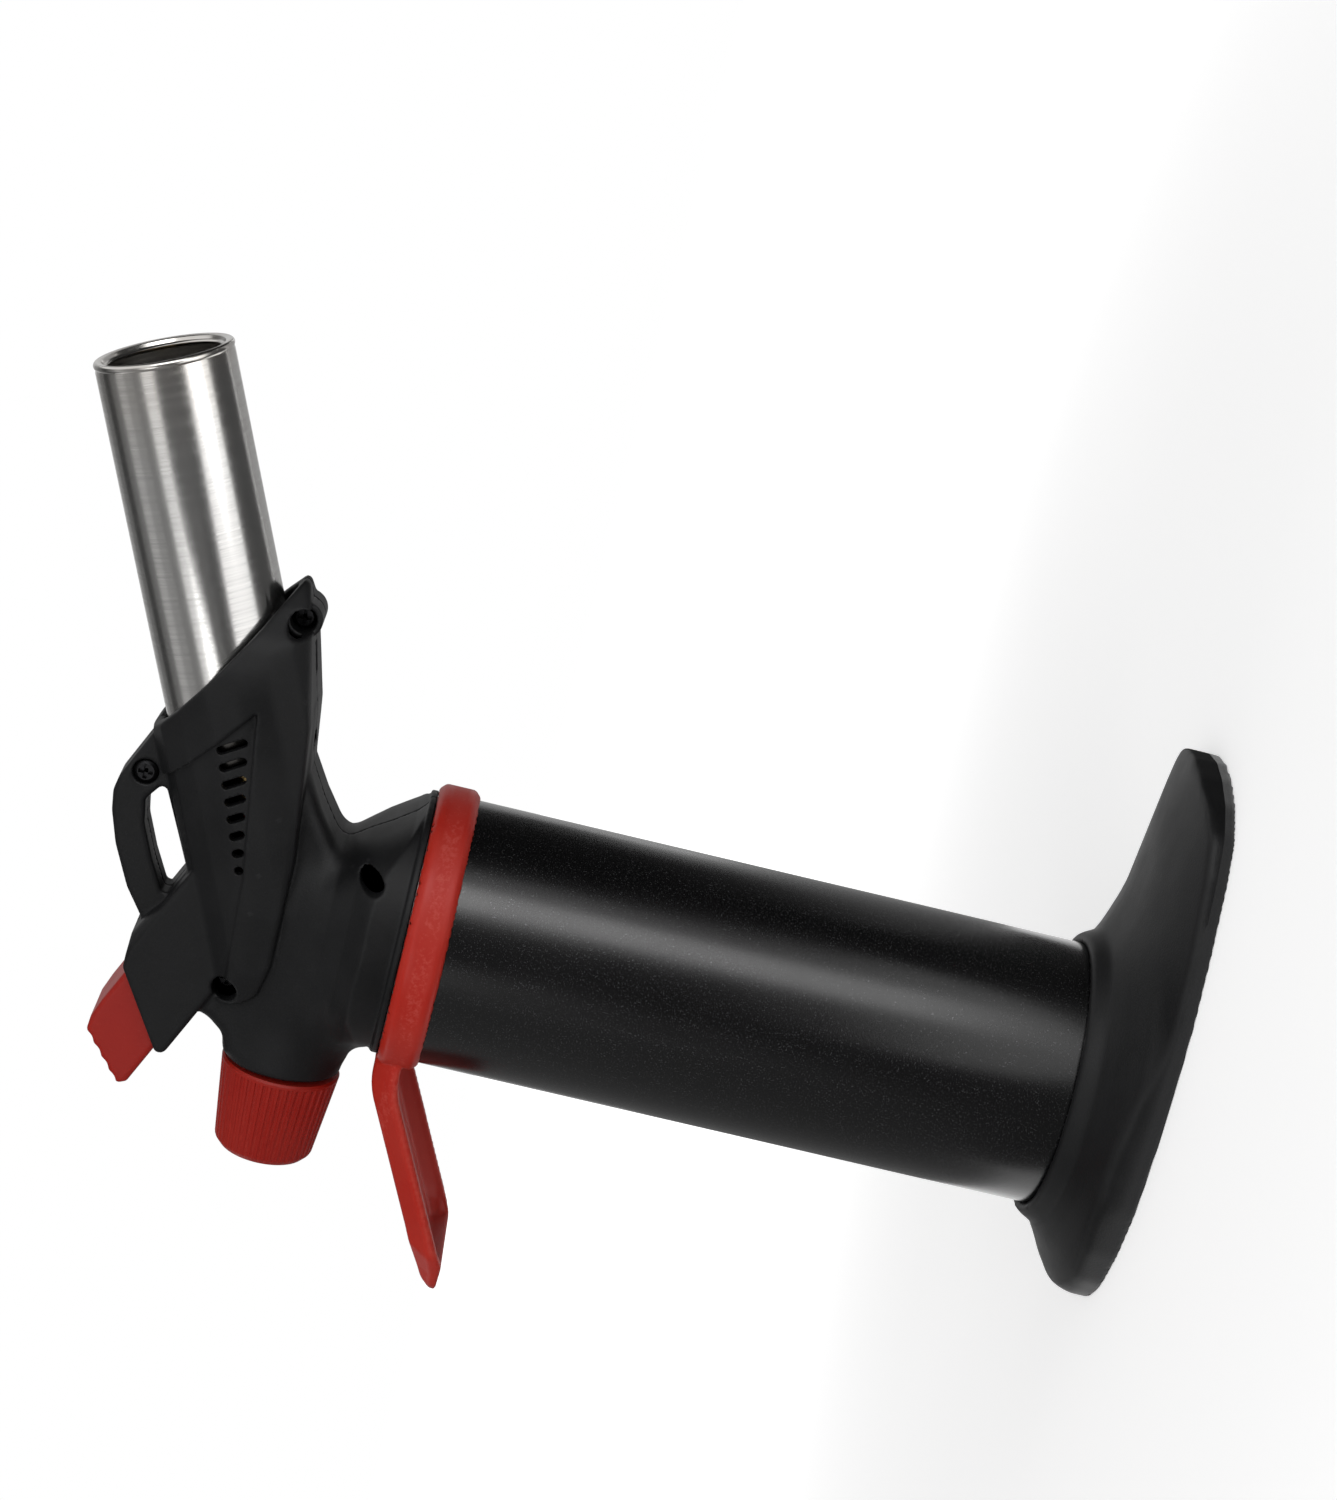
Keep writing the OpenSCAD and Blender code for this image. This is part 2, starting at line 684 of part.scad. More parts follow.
// Recess and shank hole in the right half, pilot hole in the left
module screw_hole(p, seat_y, l) {
    across(p, -30, seat_y, recess_r);
    across(p, seat_y - eps, 0, screw_r + seat_gap);
    across(p, -eps, seat_y + l + 0.5, screw_r);
}

// The slots grow longer from the stern towards the mouth, and lean back
module air_slot(i) {
    lean = 32.5;
    l = 1.3 + 0.61 * i;
    for (side = [-1, 1]) translate([8.2 + 3.41 * i, side * 17, 31.5 + 0.61 * i])
        rotate([0, -lean, 0]) side_plate(6) {
            translate([-slot_w / 2, 0]) square([slot_w, l]);
            circle(d = slot_w, $fn = 24);
            translate([0, l]) circle(d = slot_w, $fn = 24);
        }
}

module housing() {
    difference() {
        head_outside();
        head_cavity();
        head_holes();
    }
}

module housing_left() {
    color(black) at_head() intersection() {
        housing();
        translate([-head_reach, 0, -1]) cube([2 * head_reach, head_reach, head_reach]);
    }
}

module housing_right() {
    color(black) at_head() intersection() {
        housing();
        translate([-head_reach, -head_reach, -1]) cube([2 * head_reach, head_reach, head_reach]);
    }
}

module housing_screws() {
    color(steel) at_head() for (p = [neck_screw, rear_screw, lip_screw])
        translate([p[0], screw_seat_y, p[1]]) rotate([-90, 0, 0]) screw(screw_l);
}

module bridge_screw() {
    color(steel) at_head() translate([top_screw[0], top_seat_y, top_screw[1]])
        rotate([-90, 0, 0]) screw(top_screw_l);
}

// ---------------------------------------------------------------- gas valve

module valve_block() {
    color(brass) at_head() difference() {
        union() {
            along_x(block_rear_x, knob_rise) cylinder(h = block_front_x - block_rear_x, r = block_r);
            translate([0, 0, stub_foot]) cylinder(h = knob_rise + block_r - stub_foot, r = stub_r);
            translate([0, 0, neck_top]) cylinder(h = block_flange_h, r = neck_r);
        }
        along_x(block_rear_x - eps, knob_rise)
            cylinder(h = needle_x - block_rear_x, r = spindle_d / 2 + run_gap);
        along_x(needle_x - 0.5, knob_rise) cylinder(h = -needle_x, r = 1.1);
        along_x(block_rear_x - eps, knob_rise) cylinder(h = 3, r = spindle_d / 2 + 1.6);
        translate([0, 0, stem_foot_z - free_gap]) cylinder(h = 40, r = stem_bore_r);
        translate([0, 0, stub_foot - 1]) cylinder(h = stem_foot_z, r = 1);
        translate([0, 0, valve_cap_z]) cylinder(h = 10, r = valve_cap_r);
        along_x(1, gas_out_rise) cylinder(h = 20, r = gas_tube_r);
        translate([0, 0, stub_groove]) rotate_extrude() translate([stub_r, 0]) circle(r = 1, $fn = 24);
    }
}

gas_out_rise = knob_rise + 2;
gas_tube_r = 1.25;
stub_groove = 0.5;

module block_seal() {
    color("dimgray") at_head() translate([0, 0, stub_groove]) difference() {
        rotate_extrude() translate([stub_r, 0]) circle(r = 0.95, $fn = 24);
        difference() {
            translate([0, 0, -2]) cylinder(h = 4, r = stub_r + 5);
            translate([0, 0, -3]) cylinder(h = 6, r = stub_r + seat_gap);
        }
    }
}

module gland_nut() {
    color(brass) at_head() difference() {
        union() {
            along_x(gland_x, knob_rise) cylinder(h = block_rear_x - gland_x, r = gland_r, $fn = 6);
            along_x(block_rear_x, knob_rise) cylinder(h = 1.2, r = spindle_d / 2 + 1.5);
        }
        along_x(gland_x - 1, knob_rise) cylinder(h = 12, r = spindle_d / 2 + run_gap);
    }
}

module gas_spindle() {
    spindle_rear = knob_x - knob_l + 4;
    color(steel) at_head() {
        along_x(spindle_rear, knob_rise) cylinder(h = needle_x - 1 - spindle_rear, r = spindle_d / 2);
        along_x(needle_x - 1 - eps, knob_rise) cylinder(h = 6, r1 = 0.95, r2 = 0.3);
    }
}

module spindle_seal() {
    color("dimgray") at_head() along_x(block_rear_x + 1.25, knob_rise) difference() {
        cylinder(h = 1.7, r = spindle_d / 2 + 1.5);
        translate([0, 0, -1]) cylinder(h = 4, r = spindle_d / 2 + run_gap);
    }
}

module flow_knob() {
    r0 = knob_front_d / 2;
    r1 = knob_rear_d / 2;
    taper_l = knob_l - knob_chamfer;
    tilt = atan((r0 - r1) / taper_l);
    color(red) at_head() translate([knob_x, 0, knob_rise]) rotate([0, -90, 0]) difference() {
        union() {
            cylinder(h = taper_l, r1 = r0, r2 = r1);
            translate([0, 0, taper_l - eps]) cylinder(h = knob_chamfer, r1 = r1, r2 = knob_end_r);
        }
        translate([0, 0, -1]) difference() {
            cylinder(h = 13, r = r1 - 1.4);
            translate([0, 0, 1.5]) cylinder(h = 20, r = spindle_d / 2 + 1.8);
        }
        translate([0, 0, -1]) cylinder(h = knob_l - 3, r = spindle_d / 2 + run_gap);
        for (i = [0:flute_count - 1]) rotate(360 / flute_count * i) translate([r0 + 0.15, 0, 0])
            rotate([0, -tilt, 0]) translate([0, 0, 0.8]) cylinder(h = taper_l - 1.8, r = 0.5, $fn = 16);
    }
}

module valve_stem() {
    color(steel) at_head() {
        translate([0, 0, stem_foot_z]) cylinder(h = stem_foot_h, r = stem_foot_r);
        translate([0, 0, stem_foot_z]) cylinder(h = stem_head_z - stem_foot_z + eps, r = stem_r);
        translate([0, 0, stem_head_z]) cylinder(h = stem_head_h, r = stem_head_r);
    }
}

valve_spring_z = stem_foot_z + stem_foot_h + 0.01;

module valve_spring() {
    color(steel) at_head() translate([0, 0, valve_spring_z])
        coil(r = 1.85, wire_r = 0.25, l = valve_cap_z - valve_spring_z - 0.01, turns = 7);
}

module valve_cap() {
    color(brass) at_head() translate([0, 0, valve_cap_z]) difference() {
        cylinder(h = valve_cap_h, r = valve_cap_r);
        translate([0, 0, -1]) cylinder(h = valve_cap_h + 2, r = stem_r + run_gap);
    }
}

module valve_lever() {
    fork_gap = stem_r + free_gap;
    reach = arm_mid - lever_h + 1.4;
    color(steel) at_head() translate([lever_x, 0, lever_rise]) rotate([0, -lever_swing / 2, 0])
        difference() {
            union() {
                across([0, 0], -lever_half_w, lever_half_w, lever_hub_r);
                rotate([0, trigger_slope, 0]) translate([-lever_t / 2, -2.6, 0]) cube([lever_t, 5.2, reach]);
                translate([-lever_x - 1.6, -lever_half_w, -lever_t / 2])
                    cube([lever_x + 1.6, 2 * lever_half_w, lever_t]);
            }
            across([0, 0], -10, 10, pin_r + run_gap);
            translate([-lever_x - 5, -fork_gap, -3]) cube([5 + fork_gap + 0.6, 2 * fork_gap, 6]);
        }
}

module lever_pin() {
    color(steel) at_head() across([lever_x, lever_rise], -pin_half_l, pin_half_l, pin_r);
}

// ---------------------------------------------------------------- trigger and igniter

module trigger_side() {
    thumb = [[-18.4, -4.8], [-13.4, 5.6]];
    steps = 4;
    difference() {
        polygon([[-17.2, trigger_bottom], [trigger_front, trigger_bottom], [trigger_front, trigger_top],
            [-7.5, trigger_top], [-11.2, trigger_top - 0.3], thumb[1], thumb[0]]);
        for (i = [0:steps - 1]) let (f = (i + 0.5) / steps)
            translate(thumb[0] + (thumb[1] - thumb[0]) * f + [-1.15, 0.6]) circle(r = 1.7, $fn = 32);
    }
}

module trigger() {
    color(red) at_head() difference() {
        union() {
            slide_plate(trigger_half_w) trigger_side();
            slide_plate(arm_half_w) polygon([[arm_rear, arm_bottom], [arm_front, arm_bottom],
                [arm_front, arm_top], [arm_rear, arm_top]]);
        }
        along_slide(pocket_a) cylinder(h = 20, r = piezo_d / 2 + free_gap);
    }
}

module piezo_plunger() {
    color("lightgray") at_head() along_slide(pocket_a) cylinder(h = 5 - pocket_a, r = plunger_r);
}

module piezo_body() {
    color("royalblue") at_head() difference() {
        along_slide(0) cylinder(h = piezo_l, r = piezo_d / 2);
        along_slide(-1) cylinder(h = 6 + trigger_travel + free_gap, r = plunger_r + run_gap);
    }
}

// Straight runs of round wire: a ball fills each bend, or the runs lap there
module wire(points, r, lap = 0) {
    last = len(points) - 2;
    for (i = [0:last]) {
        v = points[i + 1] - points[i];
        rear_lap = i > 0 ? lap : 0;
        front_lap = i < last ? lap : 0;
        translate(points[i]) rotate([0, acos(v[2] / norm(v)), atan2(v[1], v[0])])
            translate([0, 0, -rear_lap])
            cylinder(h = norm(v) + rear_lap + front_lap, r = r, $fn = 32);
    }
    if (lap == 0)
        for (i = [1:last]) translate(points[i]) sphere(r = r + 0.05, $fn = 32);
}

function slide_point(a) = [slide_x + a * cos(trigger_slope), 0, slide_rise - a * sin(trigger_slope)];
function burner_point(t, y = 0) =
    [burner_x + t * cos(burner_angle), y, burner_rise + t * sin(burner_angle)];
electrode_start = base_start - 5;
wire_r = 0.9;

module ignition_wire() {
    side = [0, 2.6, 0];
    color("firebrick") at_head() wire([slide_point(piezo_l) + side, slide_point(piezo_l + 2) + side,
        burner_point(electrode_start - 2, spark_y), burner_point(electrode_start, spark_y)], wire_r);
}

// ---------------------------------------------------------------- burner

module gas_tube() {
    color(brass) at_head() wire([[block_front_x - 3, 0, gas_out_rise],
        [block_front_x + 2, 0, gas_out_rise], burner_point(mixer_start - 6.5),
        burner_point(mixer_start - 3)], gas_tube_r, lap = gas_tube_r / 2);
}

module gas_jet() {
    color(brass) at_head() along_burner(mixer_start - 3) difference() {
        union() {
            cylinder(h = 3, r = 3);
            translate([0, 0, 3 - eps]) cylinder(h = 3, r = mixer_bore_r);
        }
        translate([0, 0, 2]) cylinder(h = jet_l, r = 0.4);
    }
}

module mixing_tube() {
    color(brass) at_head() difference() {
        along_burner(mixer_start) cylinder(h = mixer_l, r = mixer_r);
        along_burner(mixer_start - 1) cylinder(h = mixer_l + 2, r = mixer_bore_r);
        for (i = [0:1]) along_burner(mixer_start + 5.5) rotate([90, 0, 45 + 90 * i])
            cylinder(h = 20, r = 1.2, center = true);
    }
}

module burner_base() {
    color(brass) at_head() difference() {
        along_burner(base_start) cylinder(h = base_t, r = flame_r - flame_wall);
        along_burner(base_start - 1) cylinder(h = base_t + 2, r = mixer_r);
        along_burner(base_start - 1) translate([0, spark_y, 0]) cylinder(h = base_t + 2, r = insulator_r);
    }
}

module flame_holder() {
    color(brass) at_head() difference() {
        along_burner(holder_start) cylinder(h = holder_t, r = flame_r - flame_wall);
        along_burner(holder_start - 1) cylinder(h = holder_t + 2, r = mixer_bore_r);
        for (i = [1:11]) along_burner(holder_start - 1) rotate(90 + 30 * i) translate([8.4, 0, 0])
            cylinder(h = holder_t + 2, r = 1.2);
        along_burner(holder_start - 1) translate([0, spark_y, 0]) cylinder(h = holder_t + 2, r = insulator_r);
    }
}

module flame_tube() {
    bead_r = 0.75;
    color("silver") at_head() along_burner(flame_start) rotate_extrude($fn = 96) {
        translate([flame_r - flame_wall, 0]) square([flame_wall, flame_l - bead_r]);
        translate([flame_r - bead_r + 0.15, flame_l - bead_r]) circle(r = bead_r, $fn = 24);
        translate([lip_opening_d / 2, flame_l - bead_r * 2])
            square([flame_r - bead_r - lip_opening_d / 2, flame_wall]);
    }
}

module electrode() {
    color(steel) at_head() along_burner(electrode_start) translate([0, spark_y, 0]) {
        cylinder(h = holder_start + holder_t + 8 - electrode_start, r = electrode_r);
    }
}

module electrode_insulator() {
    color("white") at_head() along_burner(electrode_start + 2) translate([0, spark_y, 0]) difference() {
        cylinder(h = holder_start + holder_t + 2 - electrode_start - 2, r = insulator_r);
        translate([0, 0, -1]) cylinder(h = 60, r = electrode_r);
    }
}

// ---------------------------------------------------------------- pieces

foot();
foot_screws();
tank_sleeve();
fuel_tank();
tank_cap();
tank_seal();
fill_valve_body();
fill_valve_stem();
fill_valve_spring();
hand_rest();
housing_left();
housing_right();
housing_screws();
bridge_screw();
valve_block();
block_seal();
gland_nut();
gas_spindle();
spindle_seal();
flow_knob();
valve_stem();
valve_spring();
valve_cap();
valve_lever();
lever_pin();
trigger();
piezo_plunger();
piezo_body();
ignition_wire();
gas_tube();
gas_jet();
mixing_tube();
burner_base();
flame_tube();
flame_holder();
electrode();
electrode_insulator();
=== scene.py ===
"""Butane torch for the jeweller's bench: the outside of the torch, its finishes and a plain studio."""
import json
import math

import bmesh
import bpy
import numpy as np
from mathutils import Matrix, Vector


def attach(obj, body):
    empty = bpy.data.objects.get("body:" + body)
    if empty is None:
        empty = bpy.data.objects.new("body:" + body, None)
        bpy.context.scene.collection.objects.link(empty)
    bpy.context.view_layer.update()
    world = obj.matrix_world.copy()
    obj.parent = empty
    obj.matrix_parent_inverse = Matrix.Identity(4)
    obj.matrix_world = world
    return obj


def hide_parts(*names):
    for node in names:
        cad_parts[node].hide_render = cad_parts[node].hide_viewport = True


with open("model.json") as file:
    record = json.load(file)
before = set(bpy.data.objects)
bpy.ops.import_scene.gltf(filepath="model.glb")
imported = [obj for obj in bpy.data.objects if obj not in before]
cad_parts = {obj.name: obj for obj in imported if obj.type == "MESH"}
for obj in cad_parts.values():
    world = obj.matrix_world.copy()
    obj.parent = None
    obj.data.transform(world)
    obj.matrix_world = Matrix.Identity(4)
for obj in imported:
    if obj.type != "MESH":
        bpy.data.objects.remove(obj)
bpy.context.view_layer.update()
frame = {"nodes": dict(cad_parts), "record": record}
MM = 0.001


# ---------------------------------------------------------------- sizes, in millimetres
SLEEVE_R = 25.0
SLEEVE_WALL = 1.1
RING_Z = 131.3            # underside of the red ring
HEAD_Z = 139.2            # top of the red ring, where the head sits
RING_R = 26.7
BURNER_SLOPE = math.radians(23)
BURNER_AT = (34.7, 40.2)  # a point on the flame tube's axis, as x and height above the ring
BURNER_WAY = Vector((math.cos(BURNER_SLOPE), 0, math.sin(BURNER_SLOPE)))
BURNER_TOP = Vector((-math.sin(BURNER_SLOPE), 0, math.cos(BURNER_SLOPE)))
TUBE_R = 12.6
BARREL_R = 13.1           # the bore round the tube, with room for it
SEAM_TURN = 31.9          # the tube's seam, in degrees from its lowest line
SEAM_DEPTH = 0.11
MOUTH_SLOPE = math.radians(32.4)
MOUTH_AT = (60.7, 32.0)   # a point on the plane that ends the head round the tube
SLIDE_SLOPE = math.radians(25)
SLIDE_AT = (-22.4, 42.3)  # a point on the trigger's slide
KNOB_RISE = 17.0          # the knob's axis above the ring
KNOB_AT = -33.1           # x of the knob's end that faces the head
FOOT_SCREW_RING = 16.0    # the foot's screws stand on a circle of this radius


def foot_screw_places():
    """The three places of the foot's screws, as x and y."""
    for k in range(3):
        turn = math.radians(60 + 120 * k)
        yield FOOT_SCREW_RING * math.cos(turn), FOOT_SCREW_RING * math.sin(turn)


# ---------------------------------------------------------------- meshes

def placed(name, data):
    """Puts a mesh, lamp or camera in the scene as an object at the origin."""
    obj = bpy.data.objects.new(name, data)
    bpy.context.scene.collection.objects.link(obj)
    return obj


def flat_card(name, corners):
    """One flat four-cornered face, its corners in metres."""
    mesh = bpy.data.meshes.new(name)
    mesh.from_pydata([tuple(c) for c in corners], [], [(0, 1, 2, 3)])
    return placed(name, mesh)


def quads_mesh(name, points, quads):
    """A smooth piece from arrays of points, in millimetres, and of the four points of each face."""
    mesh = bpy.data.meshes.new(name)
    mesh.vertices.add(len(points))
    mesh.vertices.foreach_set("co", (np.asarray(points, np.float32) * MM).ravel())
    quads = np.asarray(quads, np.int32)
    mesh.loops.add(quads.size)
    mesh.loops.foreach_set("vertex_index", quads.ravel())
    mesh.polygons.add(len(quads))
    mesh.polygons.foreach_set("loop_start", np.arange(0, quads.size, quads.shape[1], dtype=np.int32))
    mesh.polygons.foreach_set("use_smooth", np.ones(len(quads), bool))
    mesh.update(calc_edges=True)
    mesh.validate()
    return placed(name, mesh)


def crease_by_angle(obj, degrees):
    """Marks edges sharp where the faces turn by more than the angle."""
    bm = bmesh.new()
    bm.from_mesh(obj.data)
    limit = math.radians(degrees)
    for edge in bm.edges:
        edge.smooth = len(edge.link_faces) == 2 and edge.calc_face_angle(0) < limit
    bm.to_mesh(obj.data)
    bm.free()


def turned(name, profile, steps=128, centre=(0, 0, 0), axis=(0, 0, 1), sharp=30):
    """A closed shape turned from a profile of (radius, height) about an axis."""
    profile = np.asarray(profile, float)
    n = len(profile)
    angle = np.arange(steps) * 2 * np.pi / steps
    r = np.broadcast_to(profile[None, :, 0], (steps, n))
    points = np.stack([r * np.cos(angle)[:, None], r * np.sin(angle)[:, None],
                       np.broadcast_to(profile[None, :, 1], r.shape)], -1).reshape(-1, 3)
    i, k = np.meshgrid(np.arange(steps), np.arange(n), indexing="ij")
    j, m = (i + 1) % steps, (k + 1) % n
    quads = np.stack([i * n + k, j * n + k, j * n + m, i * n + m], -1).reshape(-1, 4)
    turn = Vector((0, 0, 1)).rotation_difference(Vector(axis)).to_matrix()
    points = points @ np.array(turn).T + np.asarray(centre, float)
    obj = quads_mesh(name, points, quads)
    outward(obj)
    crease_by_angle(obj, sharp)
    return obj


def outward(obj):
    """Merges doubled points and turns every face outwards."""
    bm = bmesh.new()
    bm.from_mesh(obj.data)
    bmesh.ops.remove_doubles(bm, verts=bm.verts, dist=1e-7)
    bmesh.ops.recalc_face_normals(bm, faces=bm.faces)
    bm.to_mesh(obj.data)
    bm.free()


def cut(obj, cutter, keep=False):
    """Takes the cutter's space out of a piece."""
    work = obj.modifiers.new("cut", "BOOLEAN")
    work.operation, work.object, work.solver = "DIFFERENCE", cutter, "MANIFOLD"
    settle(obj)
    if not keep:
        bpy.data.objects.remove(cutter)


def settle(obj):
    """Applies a piece's modifiers by swapping in the finished mesh."""
    graph = bpy.context.evaluated_depsgraph_get()
    done = bpy.data.meshes.new_from_object(obj.evaluated_get(graph))
    obj.modifiers.clear()
    old = obj.data
    obj.data = done
    bpy.data.meshes.remove(old)


def coat(obj, material):
    obj.data.materials.clear()
    obj.data.materials.append(material)


# ---------------------------------------------------------------- moulded shapes as distance fields
# A field takes x, y and a height, and gives the distance d to its shape's surface, negative inside.

def soft_max(a, b, r):
    """What two shapes share, with the edge between them rounded over a width r."""
    h = np.maximum(r - np.abs(a - b), 0) / r
    return np.maximum(a, b) + h * h * r * 0.25


def soft_min(a, b, r):
    """Two shapes joined, blended over a width r."""
    return -soft_max(-a, -b, r)


def fillet(a, b, r):
    """Joins two shapes with a round hollow of radius r between them."""
    u, v = np.maximum(r - a, 0), np.maximum(r - b, 0)
    return np.where((a < r) & (b < r), r - np.sqrt(u * u + v * v), np.minimum(a, b))


def within(outline, u, v):
    """Signed distance from (u, v) to a closed outline, negative inside."""
    pts = np.asarray(outline, np.float32)
    best = np.full(np.broadcast(u, v).shape, 1e12, np.float32)
    inside = np.zeros(best.shape, bool)
    for (ax, ay), (bx, by) in zip(pts, np.roll(pts, -1, 0)):
        ex, ey = bx - ax, by - ay
        wx, wy = u - ax, v - ay
        t = np.clip((wx * ex + wy * ey) / (ex * ex + ey * ey), 0, 1)
        best = np.minimum(best, (wx - ex * t) ** 2 + (wy - ey * t) ** 2)
        if ay != by:
            crosses = ((ay <= v) & (by > v)) | ((by <= v) & (ay > v))
            inside ^= crosses & (u < ax + (v - ay) / (by - ay) * ex)
    d = np.sqrt(best)
    return np.where(inside, -d, d)


def rounded_path(points, steps=6):
    """Rounds the corners of an outline: each point is (x, y, radius)."""
    out = []
    n = len(points)
    for i in range(n):
        p0, p1, p2 = (np.array(points[(i + k) % n][:2], float) for k in (-1, 0, 1))
        r = points[i][2] if len(points[i]) > 2 else 0
        a, b = p0 - p1, p2 - p1
        la, lb = np.linalg.norm(a), np.linalg.norm(b)
        a, b = a / la, b / lb
        half = 0.5 * math.acos(float(np.clip(a @ b, -1, 1)))
        if r <= 0 or abs(half - math.pi / 2) < 1e-3:
            out.append(p1)
            continue
        reach = min(r / math.tan(half), 0.45 * la, 0.45 * lb)
        r = reach * math.tan(half)
        mid = a + b
        centre = p1 + mid / np.linalg.norm(mid) * (r / math.sin(half))
        s, e = p1 + a * reach - centre, p1 + b * reach - centre
        a0, a1 = math.atan2(s[1], s[0]), math.atan2(e[1], e[0])
        sweep = (a1 - a0 + math.pi) % (2 * math.pi) - math.pi
        for k in range(steps + 1):
            w = a0 + sweep * k / steps
            out.append(centre + r * np.array([math.cos(w), math.sin(w)]))
    return out


def plate(outline, u, v, across, half, edge):
    """A plate of an outline, half to each side of zero, with its edges rounded."""
    return soft_max(within(outline, u, v), np.abs(across) - half, edge)


def skin(name, field, low, high, step):
    """Meshes the zero surface of a distance field, then draws each point onto it."""
    low, high = np.asarray(low, np.float32), np.asarray(high, np.float32)
    counts = np.ceil((high - low) / step).astype(int) + 1
    axes = [low[i] + step * np.arange(counts[i], dtype=np.float32) for i in range(3)]
    grid = np.empty(tuple(counts), np.float32)
    slab = max(1, int(400000 // (counts[1] * counts[2])))
    for s in range(0, counts[0], slab):
        x, y, z = np.meshgrid(axes[0][s:s + slab], axes[1], axes[2], indexing="ij")
        grid[s:s + slab] = field(x, y, z)
    solid = grid < 0
    cells = tuple(counts - 1)
    total = np.zeros(cells + (3,), np.float32)
    hits = np.zeros(cells, np.int16)
    crossings = []
    for a in range(3):
        lo = [slice(None)] * 3
        hi = [slice(None)] * 3
        lo[a], hi[a] = slice(None, -1), slice(1, None)
        f0, f1 = grid[tuple(lo)], grid[tuple(hi)]
        index = np.argwhere(solid[tuple(lo)] != solid[tuple(hi)])
        i0 = tuple(index.T)
        t = f0[i0] / (f0[i0] - f1[i0])
        at = index.astype(np.float32)
        at[:, a] += t
        crossings.append((a, index, solid[tuple(lo)][i0]))
        b, c = (a + 1) % 3, (a + 2) % 3
        for db in (0, 1):
            for dc in (0, 1):
                cell = index.copy()
                cell[:, b] -= db
                cell[:, c] -= dc
                ok = ((cell >= 0) & (cell < cells)).all(1)
                where = tuple(cell[ok].T)
                np.add.at(total, where, at[ok])
                np.add.at(hits, where, 1)
    used = hits > 0
    number = np.full(cells, -1, np.int64)
    number[used] = np.arange(used.sum())
    points = low + step * (total[used] / hits[used][:, None])
    quads = []
    for a, index, first_solid in crossings:
        b, c = (a + 1) % 3, (a + 2) % 3
        ring = []
        for db, dc in ((1, 1), (0, 1), (0, 0), (1, 0)):
            cell = index.copy()
            cell[:, b] -= db
            cell[:, c] -= dc
            ring.append(cell)
        ok = np.ones(len(index), bool)
        for cell in ring:
            ok &= ((cell >= 0) & (cell < cells)).all(1)
        ids = np.stack([number[tuple(cell[ok].T)] for cell in ring], 1)
        flip = ~first_solid[ok]
        ids[flip] = ids[flip][:, ::-1]
        quads.append(ids)
    quads = np.concatenate(quads)
    e = np.float32(0.05)
    for _ in range(3):
        x, y, z = points.T
        value = field(x, y, z)
        slope = np.stack([field(x + e, y, z) - field(x - e, y, z),
                          field(x, y + e, z) - field(x, y - e, z),
                          field(x, y, z + e) - field(x, y, z - e)], 1) / (2 * e)
        size = np.maximum((slope ** 2).sum(1), 0.2)
        move = -(value / size)[:, None] * slope
        length = np.linalg.norm(move, axis=1, keepdims=True)
        points = points + move * np.minimum(1, 0.35 * step / np.maximum(length, 1e-6))
    return quads_mesh(name, points, quads)


# ---------------------------------------------------------------- head housing, heights above the red ring

def between(h, table, column):
    """Reads one column of a table by the value in its first, with straight lines between the rows."""
    table = np.asarray(table, np.float32)
    return np.interp(h, table[:, 0], table[:, column]).astype(np.float32)


# height, reach in front of the widest place, reach behind it, half width
NECK = [(0, 27.2, 24, 31), (3, 23.8, 22.2, 27.6), (6.9, 20.9, 21.2, 24.8), (10.5, 18.6, 19.8, 20.6),
        (14.3, 15.8, 19, 17.6), (16.5, 15.0, 19.5, 16.5), (20, 14.9, 20, 14.6), (25, 15, 20, 12.4),
        (30, 15.5, 19, 11)]
# how square the neck is in plan, behind its widest place and in front of it
NECK_FULLNESS = [(0, 2.0, 2.4), (3, 1.85, 2.5), (8, 1.95, 2.8), (14, 2.4, 2.6), (20, 2.4, 2.4)]
NECK_AT = -2.0            # x of the neck's widest place
BOSS_X = -32.3            # the rear face of the knob's boss


def neck_field(x, y, h):
    dx = x - NECK_AT
    a = np.where(dx > 0, between(h, NECK, 1), between(h, NECK, 2))
    b = between(h, NECK, 3)
    power = np.where(dx > 0, between(h, NECK_FULLNESS, 2), between(h, NECK_FULLNESS, 1))
    reach = ((np.abs(dx) / a) ** power + (np.abs(y) / b) ** power + 1e-9) ** (1 / power)
    d = (reach - 1) * np.minimum(a, b) * 0.85  # near enough a distance
    round_r = np.sqrt(x * x + y * y)
    d = soft_max(d, round_r - 23.9 - 0.13 * h, 0.25)  # an undercut that widens upwards from the ring
    lip = soft_max(round_r - SLEEVE_R, h - 1.3, 0.5)
    return np.maximum(soft_min(d, lip, 0.5), h - 29)


def boss_field(x, y, h):
    """The round boss behind the knob, a little wider towards the neck."""
    around = np.sqrt(y * y + (h - KNOB_RISE) ** 2)
    d = around - (11 + (x - BOSS_X) * 0.06)
    return np.maximum(soft_max(d, BOSS_X - x, 0.8), x + 12)


def to_slide(x, h):
    """Turns x and height into a, along the trigger's slide, and n, out from it."""
    c, s = math.cos(SLIDE_SLOPE), math.sin(SLIDE_SLOPE)
    u, v = x - SLIDE_AT[0], h - SLIDE_AT[1]
    return u * c - v * s, u * s + v * c


def to_burner(x, h):
    """Turns x and height into the way along the flame tube and the way above its axis."""
    c, s = math.cos(BURNER_SLOPE), math.sin(BURNER_SLOPE)
    u, v = x - BURNER_AT[0], h - BURNER_AT[1]
    return u * c + v * s, -u * s + v * c


